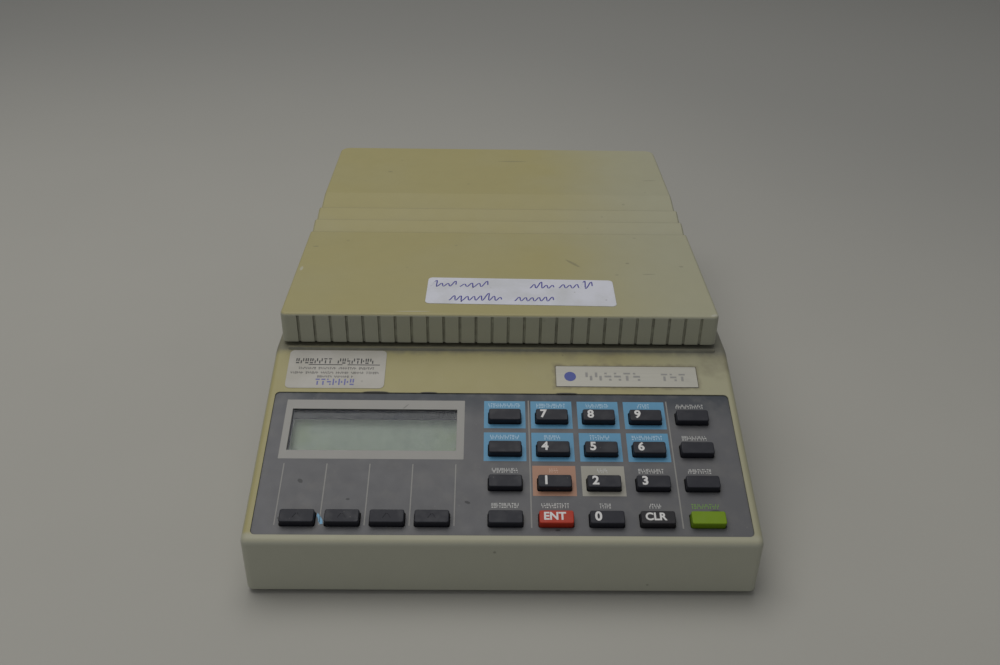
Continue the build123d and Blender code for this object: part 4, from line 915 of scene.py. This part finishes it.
def piece_from(mesh, name, place, body, material):
    """Turns a mesh drawn in a frame's millimetres into a piece that rides on a body."""
    bmesh.ops.recalc_face_normals(mesh, faces=mesh.faces)
    data = bpy.data.meshes.new(name)
    mesh.to_mesh(data)
    mesh.free()
    data.transform(Matrix.Diagonal((MM, MM, MM, 1)) @ place)
    data.materials.append(material)
    piece = bpy.data.objects.new(name, data)
    bpy.context.scene.collection.objects.link(piece)
    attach(piece, body)
    return piece


def printed(name, shapes, surface, material, place=PANEL, body="base"):
    """Flat printed shapes, each a list of loops, standing an ink's thickness off a surface."""
    mesh = bmesh.new()
    for loops in shapes:
        add_plate(mesh, loops, surface - INK, surface + INK)
    return piece_from(mesh, name, place, body, material)


def lettering(name, text, centre, height, surface, body, material):
    """A bold generic mark, cut from the built-in typeface, centred and scaled to a height."""
    curve = bpy.data.curves.new(name, "FONT")
    curve.body = text
    curve.offset = 0.034
    curve.extrude = 0.01
    curve.resolution_u = 6
    outline = bpy.data.objects.new(name + "_outline", curve)
    bpy.context.scene.collection.objects.link(outline)
    shape = outline.evaluated_get(bpy.context.evaluated_depsgraph_get()).to_mesh()
    mesh = bmesh.new()
    mesh.from_mesh(shape)
    bpy.data.objects.remove(outline)
    bmesh.ops.remove_doubles(mesh, verts=mesh.verts, dist=1e-5)
    low = Vector([min(v.co[i] for v in mesh.verts) for i in range(3)])
    high = Vector([max(v.co[i] for v in mesh.verts) for i in range(3)])
    scale = height / (high.y - low.y)
    for vert in mesh.verts:
        offset = vert.co - (low + high) / 2
        vert.co = (
            centre[0] + offset.x * scale,
            centre[1] + offset.y * scale,
            surface + (INK if offset.z > 0 else -INK),
        )
    return piece_from(mesh, name, PANEL, body, material)


# Six made-up signs, as bars in a cell 0.7 wide and 1 high. None of them is a letter.
SIGNS = (
    ((0.00, 0.25, 0.00, 1.00), (0.45, 0.70, 0.35, 0.65)),
    ((0.00, 0.70, 0.80, 1.00), (0.22, 0.48, 0.00, 0.62)),
    ((0.00, 0.25, 0.42, 1.00), (0.45, 0.70, 0.00, 0.58)),
    ((0.00, 0.70, 0.00, 0.22), (0.00, 0.25, 0.40, 1.00), (0.45, 0.70, 0.40, 1.00)),
    ((0.00, 0.25, 0.00, 0.58), (0.45, 0.70, 0.42, 1.00)),
    ((0.00, 0.70, 0.40, 0.62), (0.00, 0.25, 0.80, 1.00), (0.45, 0.70, 0.00, 0.22)),
)


def sign_row(dice, left, width, near, height, pitch, gap_every=0):
    """A row of made-up signs that fills a width, as a list of plate outlines."""
    count = max(2, round(width / pitch))
    step = width / count
    shapes = []
    for i in range(count):
        if gap_every and i % gap_every == gap_every - 1:
            continue
        for x0, x1, y0, y1 in dice.choice(SIGNS):
            x = left + step * i
            shapes.append([rectangle(x + x0 * step, x + x1 * step, near + y0 * height, near + y1 * height)])
    return shapes


def scrawl(dice, x0, x1, base, height):
    """A pen line that waves like quick handwriting without spelling anything."""
    count = max(2, round((x1 - x0) / PEN_PITCH))
    step = (x1 - x0) / count
    samples = 10
    points = []
    for i in range(count):
        tall = height * dice.choice((0.45, 0.5, 0.55, 0.6, 1.0))
        drop = height * dice.choice((0.0, 0.0, 0.05, 0.3))
        for j in range(samples):
            phase = 2 * math.pi * j / samples
            lift = (1 - math.cos(phase)) / 2 * (tall + drop) - drop * (j / samples)
            points.append((x0 + step * (i + j / samples) + lift * 0.2, base + lift))
    above = []
    below = []
    for (xa, ya), (xb, yb) in zip(points, points[1:]):
        length = math.hypot(xb - xa, yb - ya)
        nx = -(yb - ya) / length * PEN_WIDTH / 2
        ny = (xb - xa) / length * PEN_WIDTH / 2
        above.append((xa + nx, ya + ny))
        below.append((xa - nx, ya - ny))
    return below + above[::-1]


def colour_squares():
    """The coloured grounds under ten of the keys, each with the key's opening in it."""
    blue = ink_finish("ink_blue", (0.104, 0.325, 0.535), 61.0)
    clay = ink_finish("ink_clay", (0.445, 0.232, 0.150), 62.0)
    sand = ink_finish("ink_sand", (0.385, 0.370, 0.320), 63.0)
    grounds = {name: blue for row in KEY_ROWS[:2] for name in row[:4]}
    grounds["key_1"] = clay
    grounds["key_2"] = sand
    half_u, half_v = KEY_HOLE
    for name, ink in grounds.items():
        at = KEY_AT[name]
        near = at.y - GROUND_BEFORE
        far = at.y + GROUND_BEYOND
        outer = rectangle(at.x - GROUND_HALF, at.x + GROUND_HALF, near, far)
        hole = rounded(at.x - half_u, at.x + half_u, at.y - half_v, at.y + half_v, 0.9)
        printed("ground_" + name, [[outer, hole]], 0, ink)


def ruled_lines():
    """Thin pale rules that divide the panel."""
    pale = ink_finish("ink_pale", (0.27, 0.265, 0.255), 64.0)
    shapes = []
    first = KEY_AT["soft_key_1"].x - 8.9
    pitch = KEY_AT["soft_key_2"].x - KEY_AT["soft_key_1"].x
    for i in range(len(SOFT_KEYS) + 1):
        u = first + pitch * i
        shapes.append([rectangle(u - SOFT_RULE_HALF, u + SOFT_RULE_HALF, 3.0, WINDOW[0].y - 2.4)])
    for u in (KEY_AT["key_7"].x - 9.75, KEY_AT["key_9"].x + 9.95):
        shapes.append([rectangle(u - MAIN_RULE_HALF, u + MAIN_RULE_HALF, 2.3, SHEET[1].y - 3.5)])
    printed("panel_rules", shapes, 0, pale)


def key_legends():
    """A short row of made-up signs above each key of the main block."""
    dice = random.Random(7)
    grey = ink_finish("ink_grey", (0.58, 0.58, 0.57), 65.0)
    icy = ink_finish("ink_icy", (0.46, 0.64, 0.78), 66.0)
    lime = ink_finish("ink_lime", (0.17, 0.36, 0.05), 67.0)
    rust = ink_finish("ink_rust", (0.62, 0.42, 0.32), 68.0)
    inks = {name: icy for row in KEY_ROWS[:2] for name in row[:4]}
    inks.update(key_1=rust, key_2=grey)
    grounds = set(inks)
    inks["key_green"] = lime
    for names, widths in zip(KEY_ROWS, LEGEND_WIDTHS):
        for name, width in zip(names, widths):
            at = KEY_AT[name]
            near = at.y + LEGEND_RISE - LEGEND_HEIGHT / 2
            surface = INK if name in grounds else 0
            shapes = sign_row(dice, at.x - width / 2, width, near, LEGEND_HEIGHT, LEGEND_PITCH)
            ink = inks.get(name, grey)
            printed("legend_" + name, shapes, surface, ink)


def key_marks():
    """Digits on the number keys, and the two generic command marks."""
    white = ink_finish("ink_white", (0.76, 0.75, 0.75), 69.0, worn=0.15)
    for digit in "0123456789":
        name = "key_" + digit
        at = KEY_AT[name]
        centre = (at.x + DIGIT_SHIFT[0], at.y + DIGIT_SHIFT[1])
        lettering("mark_" + digit, digit, centre, DIGIT_HEIGHT, KEY_TOP, name, white)
    for name, text, shift in (("key_enter", "ENT", -0.6), ("key_clear", "CLR", -0.8)):
        at = KEY_AT[name]
        centre = (at.x + shift, at.y + 0.3)
        lettering("mark_" + text, text, centre, COMMAND_HEIGHT, KEY_TOP, name, white)


def paint_dab():
    """A chip of blue paint left between the first two keys under the display."""
    blue = ink_finish("paint_blue", (0.10, 0.36, 0.60), 70.0, roughness=0.3)
    u = (KEY_AT["soft_key_1"].x + KEY_AT["soft_key_2"].x) / 2
    v = KEY_AT["soft_key_1"].y
    shape = [[(u + x, v + y) for x, y in reversed(PAINT_CHIP)]]
    printed("paint_dab", [shape], 0, blue)


def deck_label_print():
    """Stand-in print on the deck sticker: a bold line, three small lines and a blue number band."""
    dice = random.Random(11)
    black = ink_finish("ink_black", (0.03, 0.03, 0.035), 71.0)
    violet = ink_finish("ink_violet", (0.14, 0.15, 0.42), 72.0)
    surface = DECK_LABEL[1].z
    centre = middle(DECK_LABEL).x
    top = DECK_LABEL[1].y
    bold = sign_row(dice, centre - 18.4, 37, top - 7.6, 2.9, 2.1, 9)
    rules = [
        [rectangle(centre + start, centre + end, top - 8.5, top - 8.1)]
        for start, end in ((-12.6, 2.4), (4.6, 19.0))
    ]
    printed("label_heading", bold + rules, surface, black)
    small = []
    for left, width, drop, height, pitch, gap_every in SMALL_PRINT:
        small += sign_row(dice, centre + left, width, top - drop, height, pitch, gap_every)
    printed("label_lines", small, surface, black)
    band = sign_row(dice, centre - 8.5, 17.6, top - 19.6, 3.4, 2.5)
    printed("label_number", band, surface, violet)


def nameplate_print():
    """A blue dot and pale, worn signs where the maker's and the model's names were."""
    dice = random.Random(13)
    grey = ink_finish("ink_plate", (0.30, 0.295, 0.285), 73.0)
    blue = ink_finish("ink_dot", (0.060, 0.085, 0.36), 75.0)
    low, high = NAMEPLATE
    left = low.x + 13
    near = low.y + 3.4
    width = high.x - low.x - 17
    shapes = sign_row(dice, left, width * 0.56, near, 4.4, 4.3)
    shapes += sign_row(dice, left + width * 0.74, width * 0.26, near, 4.0, 3.6)
    printed("plate_signs", shapes, high.z, grey)
    dot = rounded(low.x + 3.6, low.x + 8.8, low.y + 2.9, low.y + 8.1, 2.59)
    printed("plate_dot", [[dot]], high.z, blue)


def platform_label_scrawl():
    """Pen strokes on the platform's sticker, in place of the note written there."""
    dice = random.Random(17)
    pen = ink_finish("ink_pen", (0.060, 0.055, 0.34), 74.0, roughness=0.6)
    centre = middle(LABEL)
    shapes = []
    for start, end, foot, height in STROKES:
        stroke = scrawl(dice, centre.x + start, centre.x + end, centre.y + foot, height)
        shapes.append([stroke])
    printed("label_scrawl", shapes, LABEL[1].z, pen, FLAT, "platform")


# ------------------------ camera, lights, floor
# Radians from straight ahead, down from level and about the line of sight.
CAMERA_YAW = 0.01665
CAMERA_PITCH = 0.53765
CAMERA_ROLL = -0.01687
# Millimetres from the middle of the object's front edge, on the floor.
CAMERA_OFFSET = (-7.3, -280.3, 289.5)
FOCAL_LENGTH = 34.92
SENSOR_WIDTH = 36
ROOM_COLOUR = (0.97, 0.99, 1.0, 1)
ROOM_STRENGTH = 0.15
WARM_WHITE = (1.0, 0.985, 0.95)
FLOOR_NEAR = (0.445, 0.436, 0.402)
# Painted shade on the floor far from the lights.
FLOOR_FAR_SHADE = (0.325, 0.322, 0.306)


def add_camera():
    """A view from in front and above, aimed a little to the right of the middle."""
    level_share = math.cos(CAMERA_PITCH)
    ahead = Vector(
        (math.sin(CAMERA_YAW) * level_share, math.cos(CAMERA_YAW) * level_share, -math.sin(CAMERA_PITCH))
    )
    level = Vector((math.cos(CAMERA_YAW), -math.sin(CAMERA_YAW), 0))
    below = ahead.cross(level)
    right = math.cos(CAMERA_ROLL) * level + math.sin(CAMERA_ROLL) * below
    down = math.cos(CAMERA_ROLL) * below - math.sin(CAMERA_ROLL) * level
    matrix = Matrix((right, -down, -ahead)).transposed().to_4x4()
    low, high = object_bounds()
    eye = Vector(((low.x + high.x) / 2, low.y, low.z))
    matrix.translation = eye + Vector(CAMERA_OFFSET) * MM
    data = bpy.data.cameras.new("camera")
    data.lens = FOCAL_LENGTH
    data.sensor_width = SENSOR_WIDTH
    data.clip_start = 0.01
    camera = bpy.data.objects.new("camera", data)
    camera.matrix_world = matrix
    bpy.context.scene.collection.objects.link(camera)
    bpy.context.scene.camera = camera


def add_light(name, place, target, size, power, colour=(1, 1, 1)):
    data = bpy.data.lights.new(name, "AREA")
    data.shape = "RECTANGLE"
    data.size, data.size_y = size
    data.energy = power
    data.color = colour
    light = bpy.data.objects.new(name, data)
    light.location = place
    light.rotation_euler = (Vector(target) - Vector(place)).to_track_quat("-Z", "Y").to_euler()
    bpy.context.scene.collection.objects.link(light)


def add_studio():
    """Soft light from overhead and a little behind, and a weak front fill, placed in metres."""
    world = bpy.data.worlds.new("studio")
    world.use_nodes = True
    background = world.node_tree.nodes["Background"]
    background.inputs["Color"].default_value = ROOM_COLOUR
    background.inputs["Strength"].default_value = ROOM_STRENGTH
    bpy.context.scene.world = world
    add_light("overhead", (-0.28, 0.28, 1.5), (0, 0, 0), (1.5, 1.1), 11.9, WARM_WHITE)
    add_light("front_fill", (-0.5, -1.2, 0.8), (0, 0, 0), (1.2, 1.0), 1.7)
    bpy.context.scene.view_settings.view_transform = "Standard"


def add_floor():
    """A plain pale table top with a faint unevenness, and painted shade in place of the light's falloff
    that darkens it far away and to the right.
    """
    finish = Finish("floor_plain")
    colour = varied(finish, FLOOR_NEAR, 0.04, 120.0, 80.0)
    x, y, _ = finish.axes(finish.place)
    # Painted shade: darker far away and to the right.
    far = finish.math("ADD", y, finish.times(finish.span(x, -50, 450), 330))
    colour = finish.mix(finish.span(far, 50, 800), colour, FLOOR_FAR_SHADE)
    material = finish.close(colour, 0.75, normal=finish.relief((finish.noise(2.0, 3.0, 81.0), 0.04)))
    bpy.ops.mesh.primitive_plane_add(size=6)
    floor = bpy.context.object
    floor.name = "floor"
    floor.data.materials.append(material)


dress_frame()
colour_squares()
ruled_lines()
key_legends()
key_marks()
paint_dab()
deck_label_print()
nameplate_print()
platform_label_scrawl()
add_camera()
add_studio()
add_floor()
